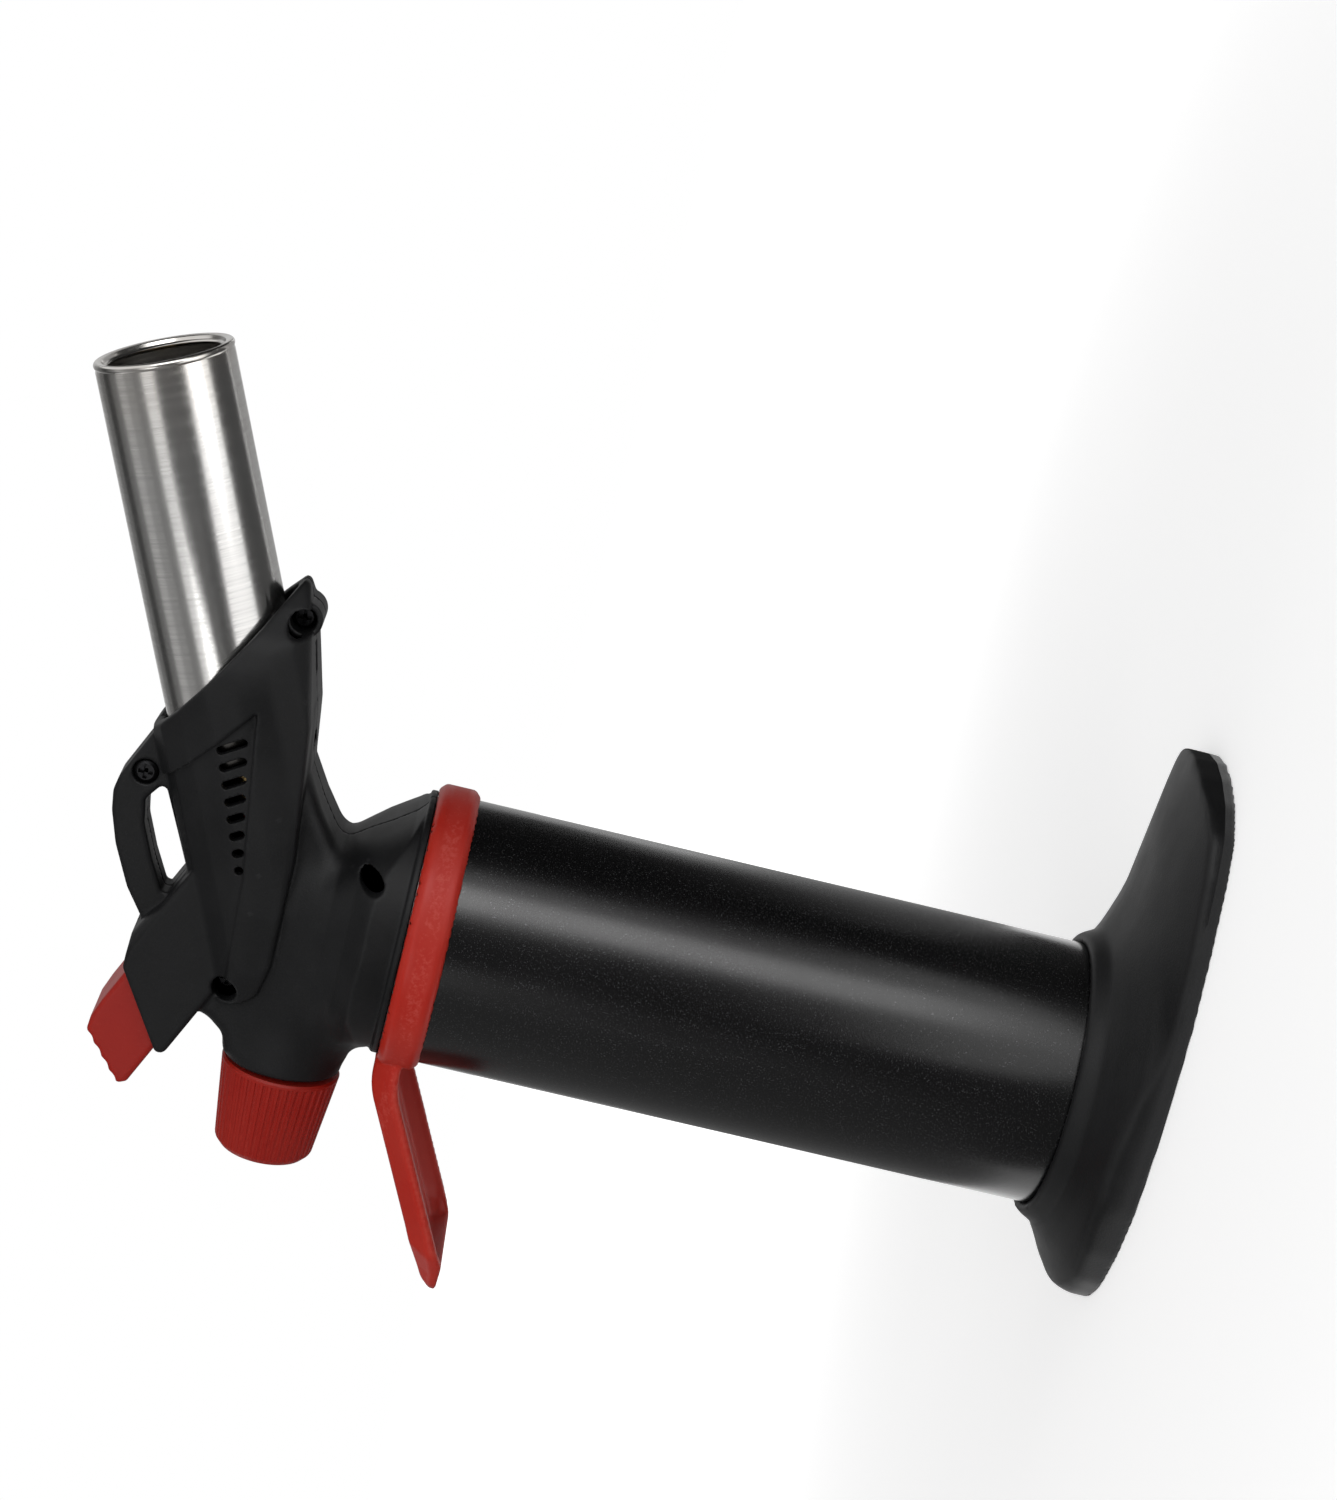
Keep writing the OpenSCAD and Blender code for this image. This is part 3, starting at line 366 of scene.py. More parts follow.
GUARD_CORNER = (-10.0, -8.0)
GUARD = rounded_path([(*GUARD_CORNER, 1.5), (16, -8), (34, -3.5), (24, 9.3), (14.3, 9.4), (10.6, 10.3),
                      (6.5, 10.5), (0.8, 8.0)])
GUARD_REAR = (0.829, 0.56)  # the way that the guard's rear end leans, along the slide and out from it
NAPE = rounded_path([(-30.5, 16), (-30.5, 27.6), (-27.2, 28.8, 4), (-24.4, 32.3, 6), (-23.6, 36), (-12, 40),
                     (-8, 15)])
BONNET_SIDE = rounded_path([(-21.2, 31, 2), (-19.8, 27.0, 4), (-17, 24.0, 4), (-9.5, 22.4, 6), (11.5, 22.6, 10),
                            (24.2, 23.9, 8), (36, 25.1, 8), (44, 26.9, 8), (54, 29.2, 6), (64, 32.6), (64, 62),
                            (20, 60), (20, 50.8, 3), (2, 42.6, 10), (-12, 37, 6), (-21.2, 34, 2)])
BONNET_PLAN = rounded_path([(-21.8, 0, 3), (-21.6, 7, 3), (-19.6, 11.2, 4), (-12.5, 13.6, 10), (0, 15.2, 20),
                            (12, 16.0, 20), (24, 16.3, 20), (42, 16.3, 20), (50, 13.2, 12), (56, 7.2, 6),
                            (60.2, 2.2, 1.5), (60.2, -20), (-21.8, -20)])
# across the burner: distance above its axis, half width
BONNET_RIB = rounded_path([(15.6, 0), (14.9, 5, 2), (12.6, 9.6, 2), (8, 13.8, 3), (2, 16.0, 5), (-3.2, 16.3),
                           (-9, 15.2, 6), (-14, 12.4, 6), (-18, 7.6, 4), (-22, 2.2, 2), (-23, 0),
                           (-23, -18), (15.6, -18)])
# the shallow three-cornered sink for the air slots, and its depth by x, deepest at the front
SLOT_SINK = [(-16.6, 30.2), (6.3, 30.9), (24, 33.2), (38.0, 34.9), (18.9, 49.7), (2, 45), (-13, 38)]
SINK_DEPTH = [(-16, 0.35), (6, 0.55), (36, 1.15)]


def bonnet_field(x, y, h):
    """The hood over the burner, from its outlines seen from the side, from above and along the tube."""
    ay = np.abs(y)
    _, above = to_burner(x, h)
    d = soft_max(within(BONNET_SIDE, x, h), within(BONNET_PLAN, x, ay), 1.1)
    d = soft_max(d, within(BONNET_RIB, above, ay), 0.9)
    sink = within(SLOT_SINK, x, h)
    return soft_max(d, -soft_max(sink, -d - between(x, SINK_DEPTH, 1), 0.2), 0.25)


def mouth_field(x, h):
    """Negative behind the mouth's sloping plane."""
    return (x - MOUTH_AT[0]) * math.sin(MOUTH_SLOPE) + (h - MOUTH_AT[1]) * math.cos(MOUTH_SLOPE)


GUARD_HALF = 9.5


def guard_field(x, y, h):
    """The guard that the trigger slides into, with its roof sloping to both sides."""
    a, n = to_slide(x, h)
    roof = (n - 9.2 - (GUARD_HALF - np.abs(y)) * 0.5) * 0.9
    return soft_max(plate(GUARD, a, n, y, GUARD_HALF, 0.9), roof, 0.5)


def guard_run_field(x, y, h):
    """The guard run on to the rear, so that hollowing it leaves its end open."""
    a, n = to_slide(x, h)
    return plate([(-30, -8), (16, -8), (34, -3.5), (24, 9.8), (-30, 9.8)], a, n, y, GUARD_HALF, 0.9)


BRIDGE = rounded_path([(-14.2, 43, 0), (-11.1, 47.3, 3), (-4.5, 52.0, 8), (3.3, 55.7, 10), (9.5, 57.6, 6),
                       (13.4, 58.1, 4), (16.4, 57.5, 3), (30.0, 51.2), (24, 44), (2, 36)])
WINDOW = rounded_path([(-5.2, 44.7, 1.1), (2.1, 48.5, 6), (8.6, 51.2, 5), (13.2, 51.9, 1.2), (17.2, 49.0, 1.0),
                       (1.4, 41.7, 1.2)])


BRIDGE_HALF = 4.3
NAPE_HALF = 8.6


def bridge_field(x, y, h):
    """The bridge over the tube, with the window below it."""
    d = plate(BRIDGE, x, h, y, BRIDGE_HALF, 1.1) + 0.05
    return soft_max(d, -within(WINDOW, x, h), 0.7)


WEB = [(0, 14), (11.8, 14.6), (14.2, 16.0), (20.2, 20.1), (26.4, 23.6), (38, 25.4), (38, 28), (0, 27)]


def web_field(x, y, h):
    """The web from the neck up to the bonnet's underside."""
    half = 11.6 - 0.12 * (x - 8)
    return soft_max(within(WEB, x, h), np.abs(y) - half, 4.0)


# where the fixing screws go in: x, height, how deep their seats lie, how wide the well is for its height
SCREW_SEATS = [(12.8, 8.1, 4.0, 0.78), (-17.2, 30.1, 3.0, 1.0), (53.6, 30.9, 1.2, 1.0), (18.4, 52.9, 2.6, 1.0)]
LIP_AT = SCREW_SEATS[2][:2]
WELL_R = 2.45


def lip_field(x, y, h):
    """The round lip that holds the front screw, below the tube."""
    return soft_max(np.sqrt((x - LIP_AT[0]) ** 2 + (h - LIP_AT[1]) ** 2) - 3.5, np.abs(y) - 5.0, 0.5)


def screw_wells(x, y, h):
    """Round wells in the near half, down to each screw's seat."""
    d = np.full(np.shape(x), 1e3, np.float32)
    for sx, sh, seat, wide in SCREW_SEATS:
        well = np.sqrt(((x - sx) / wide) ** 2 + (h - sh) ** 2) * wide - WELL_R * wide
        d = np.minimum(d, np.maximum(well, seat + y))
    return d


def head_shell(x, y, h):
    """The outside of the head with its rear and mouth ends run on past their openings."""
    d = soft_min(neck_field(x, y, h), boss_field(x, y, h), between(h, [(12, 7.5), (22, 2.5)], 1))
    nape = plate(NAPE, x, h, y, NAPE_HALF, 2.4)
    d = fillet(d, nape, 3.0)
    d = soft_min(d, web_field(x, y, h), 3.0)
    return soft_min(d, bonnet_field(x, y, h), 0.3)


WALL = 2.0
GUARD_WALL = 1.7
STEM_BORE_R = 6.9         # the hole for the knob's stem, open as far as BORE_END
BORE_END = -20
BARREL_START = -11        # where the bore round the tube begins, along the tube
CATCH_X = 46              # x of the narrow slot under the bonnet
CATCH_HALF = (2.9, 1.3)
PARTING_GAP = np.float32(0.015)


def head_field(x, y, h):
    """Both halves of the head as one hollow shell."""
    ends = mouth_field(x, h)
    body = head_shell(x, y, h)
    a, n = to_slide(x, h)
    rear_cut = -(a - GUARD_CORNER[0]) * GUARD_REAR[0] + (n - GUARD_CORNER[1]) * GUARD_REAR[1]
    outside = soft_max(soft_min(body, guard_field(x, y, h), 0.4), rear_cut, 0.5)
    inside = np.minimum(body + WALL, guard_run_field(x, y, h) + GUARD_WALL)
    d = soft_max(outside, -np.maximum(inside, 0.2 - h), 0.3)
    beyond = 60 * (x > BORE_END)
    d = soft_max(d, -(np.sqrt(y * y + (h - KNOB_RISE) ** 2) - STEM_BORE_R + beyond), 0.3)
    d = soft_max(d, ends, 0.5)
    along, above = to_burner(x, h)
    barrel = np.sqrt(y * y + above * above) - BARREL_R
    d = soft_max(d, -soft_max(barrel, BARREL_START - along, 0.4), 0.5)
    bridge = soft_max(bridge_field(x, y, h), ends, 0.5)
    d = soft_min(d, np.maximum(bridge, -np.maximum(barrel, BARREL_START - along)), 0.35)
    d = soft_min(d, np.maximum(lip_field(x, y, h), -barrel), 0.3)
    d = soft_max(d, -screw_wells(x, y, h), 0.25)
    catch = np.maximum(np.abs(x - CATCH_X) - CATCH_HALF[0], np.abs(y) - CATCH_HALF[1])
    catch = np.maximum(catch, h - 28.2 - 0.22 * (x - CATCH_X))
    return np.maximum(soft_max(d, -catch, 0.2), -h)


def head_half(name, side):
    """One half of the head, from the parting plane out to its own side: -1 is the near one."""
    def field(x, y, z):
        return soft_max(head_field(x, y, z - HEAD_Z), PARTING_GAP - side * y, 0.06)
    near, far = sorted((-0.6 * side, 26 * side))
    return skin(name, field, (-35.5, near, HEAD_Z - 0.8), (63.5, far, HEAD_Z + 59.2), 0.45)


# ---------------------------------------------------------------- foot, hand rest and trigger

FOOT_PLAN = rounded_path([(-39.7, -30), (-39.7, 0, 4), (-38.9, 9, 12), (-34.5, 21.2, 14), (-28.3, 27.2, 14),
                          (-20.3, 31.9, 16), (-9.5, 35.6, 20), (4, 36.75, 30), (16, 36.6, 30), (27.7, 35.4, 30),
                          (40.7, 31.9, 30), (52.6, 27.4, 8), (59.0, 23.6, 8), (63.2, 16.5, 10), (65.4, 8, 14),
                          (66.2, 0, 20), (66.2, -30)])
# the foot's half width by x, from which its flank falls away
FOOT_HALF = [(-40, 36.7), (4, 36.7), (16, 36.6), (27.7, 35.4), (40.7, 31.9), (53.9, 27.6), (61, 22), (66.4, 17)]
# half of the round part as it would be turned: radius, height
HEEL = rounded_path([(0, -6), (39.9, -6), (39.9, 3.0, 3), (38.4, 5.6, 3), (35.4, 7.7, 8), (31.5, 9.9, 8),
                     (28.6, 11.8, 2.0), (27.3, 14.2, 2), (26.7, 15), (0, 15)])
FOOT_WALL, TOE_WALL = 2.4, 3.4
FOOT_BORE_R = 25.08       # the bore that holds the sleeve
FOOT_FLOOR = 6            # the bore's floor
FILL_HOLE_R = 9
SCREW_HOLE_R = 1.6


def foot_field(x, y, z):
    """The foot: a round part under the tank with a flatter toe run forwards, hollow from below."""
    ay = np.abs(y)
    plan = within(FOOT_PLAN, x, ay)
    r = np.sqrt(x * x + y * y)
    heel = within(HEEL, r, z)
    crown = z - (10.3 - 0.086 * (x - 26) - 0.0012 * np.maximum(x - 50, 0) ** 2 - 0.0055 * ay * ay)
    flank = (z - (6.0 + 0.30 * (between(x, FOOT_HALF, 1) - ay))) * 0.96
    toe = soft_max(crown, flank, 2.4)
    toe = np.maximum(toe, 10 - x)
    d = soft_min(heel, toe, 3.0)
    d = soft_max(d, plan, 1.2)
    hollow = soft_max(plan + FOOT_WALL, z - 3.0, 0.5)
    toe_hollow = soft_max(np.maximum(plan + TOE_WALL, 27.5 - x), z - 3.9, 0.5)
    d = np.maximum(d, -np.minimum(hollow, toe_hollow))
    d = soft_max(d, -np.maximum(r - FOOT_BORE_R, FOOT_FLOOR - z), 0.2)
    d = np.maximum(d, -(r - FILL_HOLE_R))
    for sx, sy in foot_screw_places():
        d = np.maximum(d, -(np.sqrt((x - sx) ** 2 + (y - sy) ** 2) - SCREW_HOLE_R))
    return soft_max(d, -z, 0.3)


REST_TOP = 7.95           # top of the red ring and of the hand rest's level part, above the ring's underside
REST_BEND = -29.2         # from this x rearwards the hand rest slopes down
REST_SLOPE = math.radians(25.6)
REST_TIP = -70.4
REST_THICK = 5.1
REST_WALL = 1.8
REST_BORE_R = 25.06       # the bore that goes round the sleeve
REST_PLAN = rounded_path([(REST_TIP, -20), (REST_TIP, 4, 2), (-67.6, 9, 3), (-59.5, 14, 4), (4, 14), (4, -20)])
REST_BEVEL = [(-70, 0.5), (-64, 2.4), (-56, 3.7)]  # how wide the bevel along its sides is, by x
DIAGONAL = 0.707


def rest_field(x, y, z):
    """The red ring and the hand rest that runs back from it."""
    h = z - RING_Z
    ay = np.abs(y)
    r = np.sqrt(x * x + y * y)
    rise = np.abs(h - 3.95) - 3.95
    ring = soft_max(soft_max(r - RING_R, rise, 0.2), (r - RING_R + rise + 1.2) * DIAGONAL, 0.4)
    slope = (h - REST_TOP) * math.cos(REST_SLOPE) - (x - REST_BEND) * math.sin(REST_SLOPE)
    top = soft_max(h - REST_TOP, slope, 1.5)
    plan = within(REST_PLAN, x, ay)
    bevel = (top + plan + between(x, REST_BEVEL, 1)) * DIAGONAL
    outer = soft_max(soft_max(top, plan, 0.5), bevel, 0.5)
    tail = soft_max(soft_max(outer, -(top + REST_THICK), 0.4), -13.3 - h, 0.4)
    hollow = soft_max(soft_max(top + REST_WALL, plan + REST_WALL, 0.6), bevel + REST_WALL, 0.6)
    tail = soft_max(tail, -soft_max(hollow, -61.5 - x, 0.8), 0.3)
    tail = np.maximum(tail, x + 12)
    d = soft_min(ring, tail, 0.6)
    return np.maximum(d, -(r - REST_BORE_R))


THUMB_FOOT, THUMB_HEAD = (-19.2, -4.9), (-14.0, 5.8)
THUMB_SIDE = rounded_path([(-17.7, -6.2, 1.0), (4, -6.2), (4, 6.95), (-7.5, 6.95, 3), (-11.4, 6.7, 2),
                           (*THUMB_HEAD, 1.6), (*THUMB_FOOT, 1.0)])
THUMB_HALF = 7.6
THUMB_GROOVES = 4
GROOVE_R, GROOVE_OUT = 1.7, 1.35  # each groove's radius, and how far its middle stands out from the face


def trigger_field(x, y, z):
    """The sliding trigger, with grooves across the face that the thumb pushes."""
    a, n = to_slide(x, z - HEAD_Z)
    side = within(THUMB_SIDE, a, n)
    d = soft_max(side, np.abs(y) - THUMB_HALF, 1.0)
    (foot_a, foot_n), (head_a, head_n) = THUMB_FOOT, THUMB_HEAD
    lean = math.hypot(head_a - foot_a, head_n - foot_n)
    ua, un = (head_a - foot_a) / lean, (head_n - foot_n) / lean
    along = (a - foot_a) * ua + (n - foot_n) * un
    out = -(a - foot_a) * un + (n - foot_n) * ua
    for k in range(THUMB_GROOVES):
        middle = (k + 0.5) * lean / THUMB_GROOVES
        d = soft_max(d, -(np.sqrt((along - middle) ** 2 + (out - GROOVE_OUT) ** 2) - GROOVE_R), 0.4)
    return d


# ---------------------------------------------------------------- node trees

def feed(tree, made, inputs):
    """Links each input that is given a socket, and sets each that is given a plain value."""
    for key, value in inputs.items():
        if isinstance(value, bpy.types.NodeSocket):
            tree.links.new(value, made.inputs[key])
        else:
            made.inputs[key].default_value = value


def node(tree, kind, inputs=None, **settings):
    made = tree.nodes.new(kind)
    for key, value in settings.items():
        setattr(made, key, value)
    feed(tree, made, inputs or {})
    return made


def worked(tree, operation, *values):
    return node(tree, "ShaderNodeMath", dict(enumerate(values)), operation=operation).outputs[0]


def times(tree, first, second):
    return worked(tree, "MULTIPLY", first, second)


def plus(tree, first, second):
    return worked(tree, "ADD", first, second)


def vector(tree, **axes):
    return node(tree, "ShaderNodeCombineXYZ", {key.upper(): value for key, value in axes.items()}).outputs[0]


def level_of(tree, place):
    """The height, Z, of a place."""
    return node(tree, "ShaderNodeSeparateXYZ", {0: place}).outputs[2]


def ramp(tree, value, low, high):
    """Runs from 0 to 1 as a value goes from low to high."""
    return node(tree, "ShaderNodeMapRange", {0: value, 1: low, 2: high}).outputs[0]


def noise(tree, place, scale, detail, roughness=0.5):
    return node(tree, "ShaderNodeTexNoise", {"Vector": place, "Scale": scale, "Detail": detail,
                                             "Roughness": roughness}).outputs[0]


def moved(tree, shape, **how):
    """Shifts or turns a shape in a geometry tree: Translation or Rotation."""
    return node(tree, "GeometryNodeTransform", {"Geometry": shape, **how}).outputs[0]


def new_tree(name, kind, inputs, outputs=(("Geometry", "Geometry"),)):
    """An empty node tree with named inputs and outputs."""
    tree = bpy.data.node_groups.new(name, kind)
    for label, socket, *value in inputs:
        made = tree.interface.new_socket(label, in_out="INPUT", socket_type="NodeSocket" + socket)
        if value:
            made.default_value = value[0]
    for label, socket in outputs:
        tree.interface.new_socket(label, in_out="OUTPUT", socket_type="NodeSocket" + socket)
    return tree, node(tree, "NodeGroupInput").outputs, node(tree, "NodeGroupOutput")


def grown(name, tree, start=None, **sizes):
    """Runs a geometry tree on a piece and keeps the result as a plain mesh."""
    mesh = bpy.data.meshes.new(name)
    if start:
        mesh.from_pydata([tuple(c * MM for c in p) for p in start], [], [])
    obj = placed(name, mesh)
    work = obj.modifiers.new(name, "NODES")
    work.node_group = tree
    for item in tree.interface.items_tree:
        if item.in_out == "INPUT" and item.name in sizes:
            work[item.identifier] = sizes[item.name]
    settle(obj)
    return obj


def rod_shape(tree, vertices, radius, depth):
    return node(tree, "GeometryNodeMeshCylinder", {"Vertices": vertices, "Radius": radius,
                                                   "Depth": depth}).outputs["Mesh"]


def set_on(tree, points, shape, turn):
    """Sets a shape on each point, as real faces."""
    many = node(tree, "GeometryNodeInstanceOnPoints", {"Points": points, "Instance": shape, "Rotation": turn})
    return node(tree, "GeometryNodeRealizeInstances", {0: many.outputs[0]}).outputs[0]


def close_tree(tree, shape, inp, out):
    """Gives the shape its finish and puts it out."""
    done = node(tree, "GeometryNodeSetMaterial", {"Geometry": shape, "Material": inp["Finish"]})
    tree.links.new(done.outputs[0], out.inputs[0])
    return tree


def flute_tree():
    """Round-bottomed grooves set in a ring about an axis, ready to be cut from a grip."""
    tree, inp, out = new_tree("grip flutes", "GeometryNodeTree",
                              [("Geometry", "Geometry"), ("Count", "Int", 44), ("Ring radius", "Float", 0.011),
                               ("Groove radius", "Float", 0.0006), ("Length", "Float", 0.015),
                               ("Taper", "Float", 0.0), ("Start", "Float", 0.0), ("Finish", "Material")])
    rod = rod_shape(tree, 10, inp["Groove radius"], inp["Length"])
    raised = moved(tree, rod, Translation=vector(tree, z=times(tree, inp["Length"], 0.5)))
    leaned = moved(tree, raised, Rotation=vector(tree, y=times(tree, inp["Taper"], -1.0)))
    groove = moved(tree, leaned, Translation=vector(tree, z=inp["Start"]))
    ring = node(tree, "GeometryNodeMeshCircle", {"Vertices": inp["Count"], "Radius": inp["Ring radius"]})
    index = node(tree, "GeometryNodeInputIndex").outputs[0]
    turn = worked(tree, "DIVIDE", times(tree, index, 2 * math.pi), inp["Count"])
    flutes = set_on(tree, ring.outputs[0], groove, vector(tree, z=turn))
    return close_tree(tree, flutes, inp, out)


def slot_tree():
    """A row of leaning round-ended slots, each longer than the last, standing on the XZ plane."""
    tree, inp, out = new_tree("air slots", "GeometryNodeTree",
                              [("Geometry", "Geometry"), ("Count", "Int", 8), ("Start", "Vector", (0, 0, 0)),
                               ("Step", "Vector", (0, 0, 0)), ("Width", "Float", 0.0015),
                               ("First length", "Float", 0.001), ("Growth", "Float", 0.0006),
                               ("Lean", "Float", 0.5), ("Depth", "Float", 0.01), ("Finish", "Material")])

    def store(shape, label, value):
        return node(tree, "GeometryNodeStoreNamedAttribute", {"Geometry": shape, "Name": label, "Value": value},
                    data_type="FLOAT", domain="POINT").outputs[0]

    def recall(label):
        return node(tree, "GeometryNodeInputNamedAttribute", {"Name": label}, data_type="FLOAT").outputs[0]

    sides = 24
    rod = rod_shape(tree, sides, times(tree, inp["Width"], 0.5), inp["Depth"])
    laid = moved(tree, moved(tree, rod, Rotation=(0, 0, math.pi / sides)), Rotation=(math.pi / 2, 0, 0))
    level = level_of(tree, node(tree, "GeometryNodeInputPosition").outputs[0])
    pin = store(laid, "upper", worked(tree, "GREATER_THAN", level, 0.0))
    row = node(tree, "GeometryNodeMeshLine", {"Count": inp["Count"], "Start Location": inp["Start"],
                                              "Offset": inp["Step"]})
    row = store(row.outputs[0], "order", node(tree, "GeometryNodeInputIndex").outputs[0])
    lean = vector(tree, y=inp["Lean"])
    pins = set_on(tree, row, pin, lean)
    # each pin's upper side is drawn out into a slot
    length = plus(tree, inp["First length"], times(tree, recall("order"), inp["Growth"]))
    draw = vector(tree, z=times(tree, recall("upper"), length))
    shift = node(tree, "ShaderNodeVectorRotate", {"Vector": draw, "Rotation": lean}, rotation_type="EULER_XYZ")
    drawn = node(tree, "GeometryNodeSetPosition", {"Geometry": pins, "Offset": shift.outputs[0]})
    return close_tree(tree, drawn.outputs[0], inp, out)


def screw_tree():
    """Cross-recess screws standing on the points of a piece, heads along one direction."""
    tree, inp, out = new_tree("cross-head screws", "GeometryNodeTree",
                              [("Geometry", "Geometry"), ("Head radius", "Float", 0.0022),
                               ("Head height", "Float", 0.0015), ("Shank radius", "Float", 0.0014),
                               ("Shank length", "Float", 0.006), ("Turn", "Vector", (0, 0, 0)),
                               ("Finish", "Material")])

    def share(of, factor):
        return times(tree, inp[of], factor)

    def raised(shape, of, factor):
        return moved(tree, shape, Translation=vector(tree, z=share(of, factor)))

    low = raised(rod_shape(tree, 32, inp["Head radius"], share("Head height", 0.6)), "Head height", 0.3)
    crown = node(tree, "GeometryNodeMeshCone", {"Vertices": 32, "Radius Top": share("Head radius", 0.72),
                 "Radius Bottom": inp["Head radius"], "Depth": share("Head height", 0.4)})
    high = raised(crown.outputs["Mesh"], "Head height", 0.6)
    shank = raised(rod_shape(tree, 24, inp["Shank radius"], inp["Shank length"]), "Shank length", -0.499)
    whole = node(tree, "GeometryNodeMeshBoolean", operation="UNION")
    for shape in (low, high, shank):
        tree.links.new(shape, whole.inputs["Mesh 2"])
    recess = node(tree, "GeometryNodeMeshBoolean", operation="UNION")
    for wide, thin in ((1.25, 0.36), (0.36, 1.25)):
        size = vector(tree, x=share("Head radius", wide), y=share("Head radius", thin), z=inp["Head height"])
        blade = node(tree, "GeometryNodeMeshCube", {"Size": size}).outputs[0]
        tree.links.new(raised(blade, "Head height", 0.92), recess.inputs["Mesh 2"])
    screw = node(tree, "GeometryNodeMeshBoolean", {"Mesh 1": whole.outputs[0], "Mesh 2": recess.outputs[0]})
    return close_tree(tree, set_on(tree, inp["Geometry"], screw.outputs[0], inp["Turn"]), inp, out)


# ---------------------------------------------------------------- finishes

def grain_group():
    """Fine moulded grain: a height for bump and a fleck mask."""
    tree, inp, out = new_tree("moulded grain", "ShaderNodeTree",
                              [("Vector", "Vector"), ("Scale", "Float", 3000.0), ("Fleck cut", "Float", 0.62)],
                              [("Height", "Float"), ("Fleck", "Float")])
    fine = noise(tree, inp["Vector"], inp["Scale"], 3.0, 0.6)
    cell = node(tree, "ShaderNodeTexVoronoi", {"Vector": inp["Vector"],
                                               "Scale": times(tree, inp["Scale"], 0.7)})
    feed(tree, out, {"Height": plus(tree, fine, times(tree, cell.outputs["Distance"], 0.4)),
                     "Fleck": ramp(tree, fine, inp["Fleck cut"], plus(tree, inp["Fleck cut"], 0.12))})
    return tree


def wear_group():
    """Rubbed edges, broken up so that the line isn't even."""
    tree, inp, out = new_tree("edge wear", "ShaderNodeTree",
                              [("Vector", "Vector"), ("Start", "Float", 0.53), ("Full", "Float", 0.60),
                               ("Breaks", "Float", 900.0)], [("Mask", "Float")])
    edge = ramp(tree, node(tree, "ShaderNodeNewGeometry").outputs["Pointiness"], inp["Start"], inp["Full"])
    broken = ramp(tree, noise(tree, inp["Vector"], inp["Breaks"], 4.0), 0.35, 0.62)
    feed(tree, out, {"Mask": times(tree, edge, broken)})
    return tree


def handling_group():
    """Soft uneven patches, as left by hands and dust."""
    tree, inp, out = new_tree("handling", "ShaderNodeTree",
                              [("Vector", "Vector"), ("Scale", "Float", 60.0)], [("Mask", "Float")])
    feed(tree, out, {"Mask": ramp(tree, noise(tree, inp["Vector"], inp["Scale"], 5.0, 0.55), 0.35, 0.68)})
    return tree


def brushing_group():
    """Fine lines that run round the Z axis of the vector given."""
    tree, inp, out = new_tree("brushing", "ShaderNodeTree", [("Vector", "Vector"), ("Lines", "Float", 5000.0)],
                              [("Height", "Float"), ("Streak", "Float")])
    close_lines = vector(tree, x=60.0, y=60.0, z=inp["Lines"])
    stretch = node(tree, "ShaderNodeVectorMath", {0: inp["Vector"], 1: close_lines},
                   operation="MULTIPLY").outputs[0]
    fine, broad = noise(tree, stretch, 1.0, 2.0), noise(tree, stretch, 0.22, 3.0)
    feed(tree, out, {"Height": fine, "Streak": ramp(tree, plus(tree, fine, broad), 0.7, 1.3)})
    return tree


GRAIN, WEAR, HANDLING, BRUSHING = grain_group(), wear_group(), handling_group(), brushing_group()


def finish(name, **shine):
    """A material with its Principled shader; the keywords are the shader's own plain values."""
    material = bpy.data.materials.new(name)
    material.use_nodes = True
    tree = material.node_tree
    shader = tree.nodes["Principled BSDF"]
    feed(tree, shader, spaced(shine))
    place = node(tree, "ShaderNodeTexCoord").outputs["Object"]
    return material, tree, shader, place


def spaced(inputs):
    return {key.replace("_", " "): value for key, value in inputs.items()}


def use(tree, group, **inputs):
    """Sets a shared effect in a material and returns what it puts out."""
    return node(tree, "ShaderNodeGroup", spaced(inputs), node_tree=group).outputs


def blend_colours(tree, mask, first, second):
    """Goes from the first colour to the second where the mask is full."""
    first, second = ((*c, 1) if isinstance(c, tuple) else c for c in (first, second))
    return node(tree, "ShaderNodeMix", {0: mask, 6: first, 7: second}, data_type="RGBA").outputs[2]


def spread(tree, mask, low, high):
    """Turns a mask into a value from low to high."""
    return node(tree, "ShaderNodeMapRange", {0: mask, 3: low, 4: high}).outputs[0]


def bumped(tree, shader, height, depth, strength=1.0):
    bump = node(tree, "ShaderNodeBump", {"Height": height, "Distance": depth, "Strength": strength})
    tree.links.new(bump.outputs[0], shader.inputs["Normal"])


# in metres, as the materials have them
BAND_EDGE = 0.0007        # the width over which the hand rest's scuffed band fades in
HEATED = (0.045, 0.075)   # the part of the tube, from its point BURNER_AT, over which the heat tint comes in
MOUTH_WAY = (0.536, 0, 0.844)  # square to the mouth's plane
COVERED_SHADE = (0.1765, 0.1745)  # how far along MOUTH_WAY the unshaded tube ends, and from how far it is all in painted shade
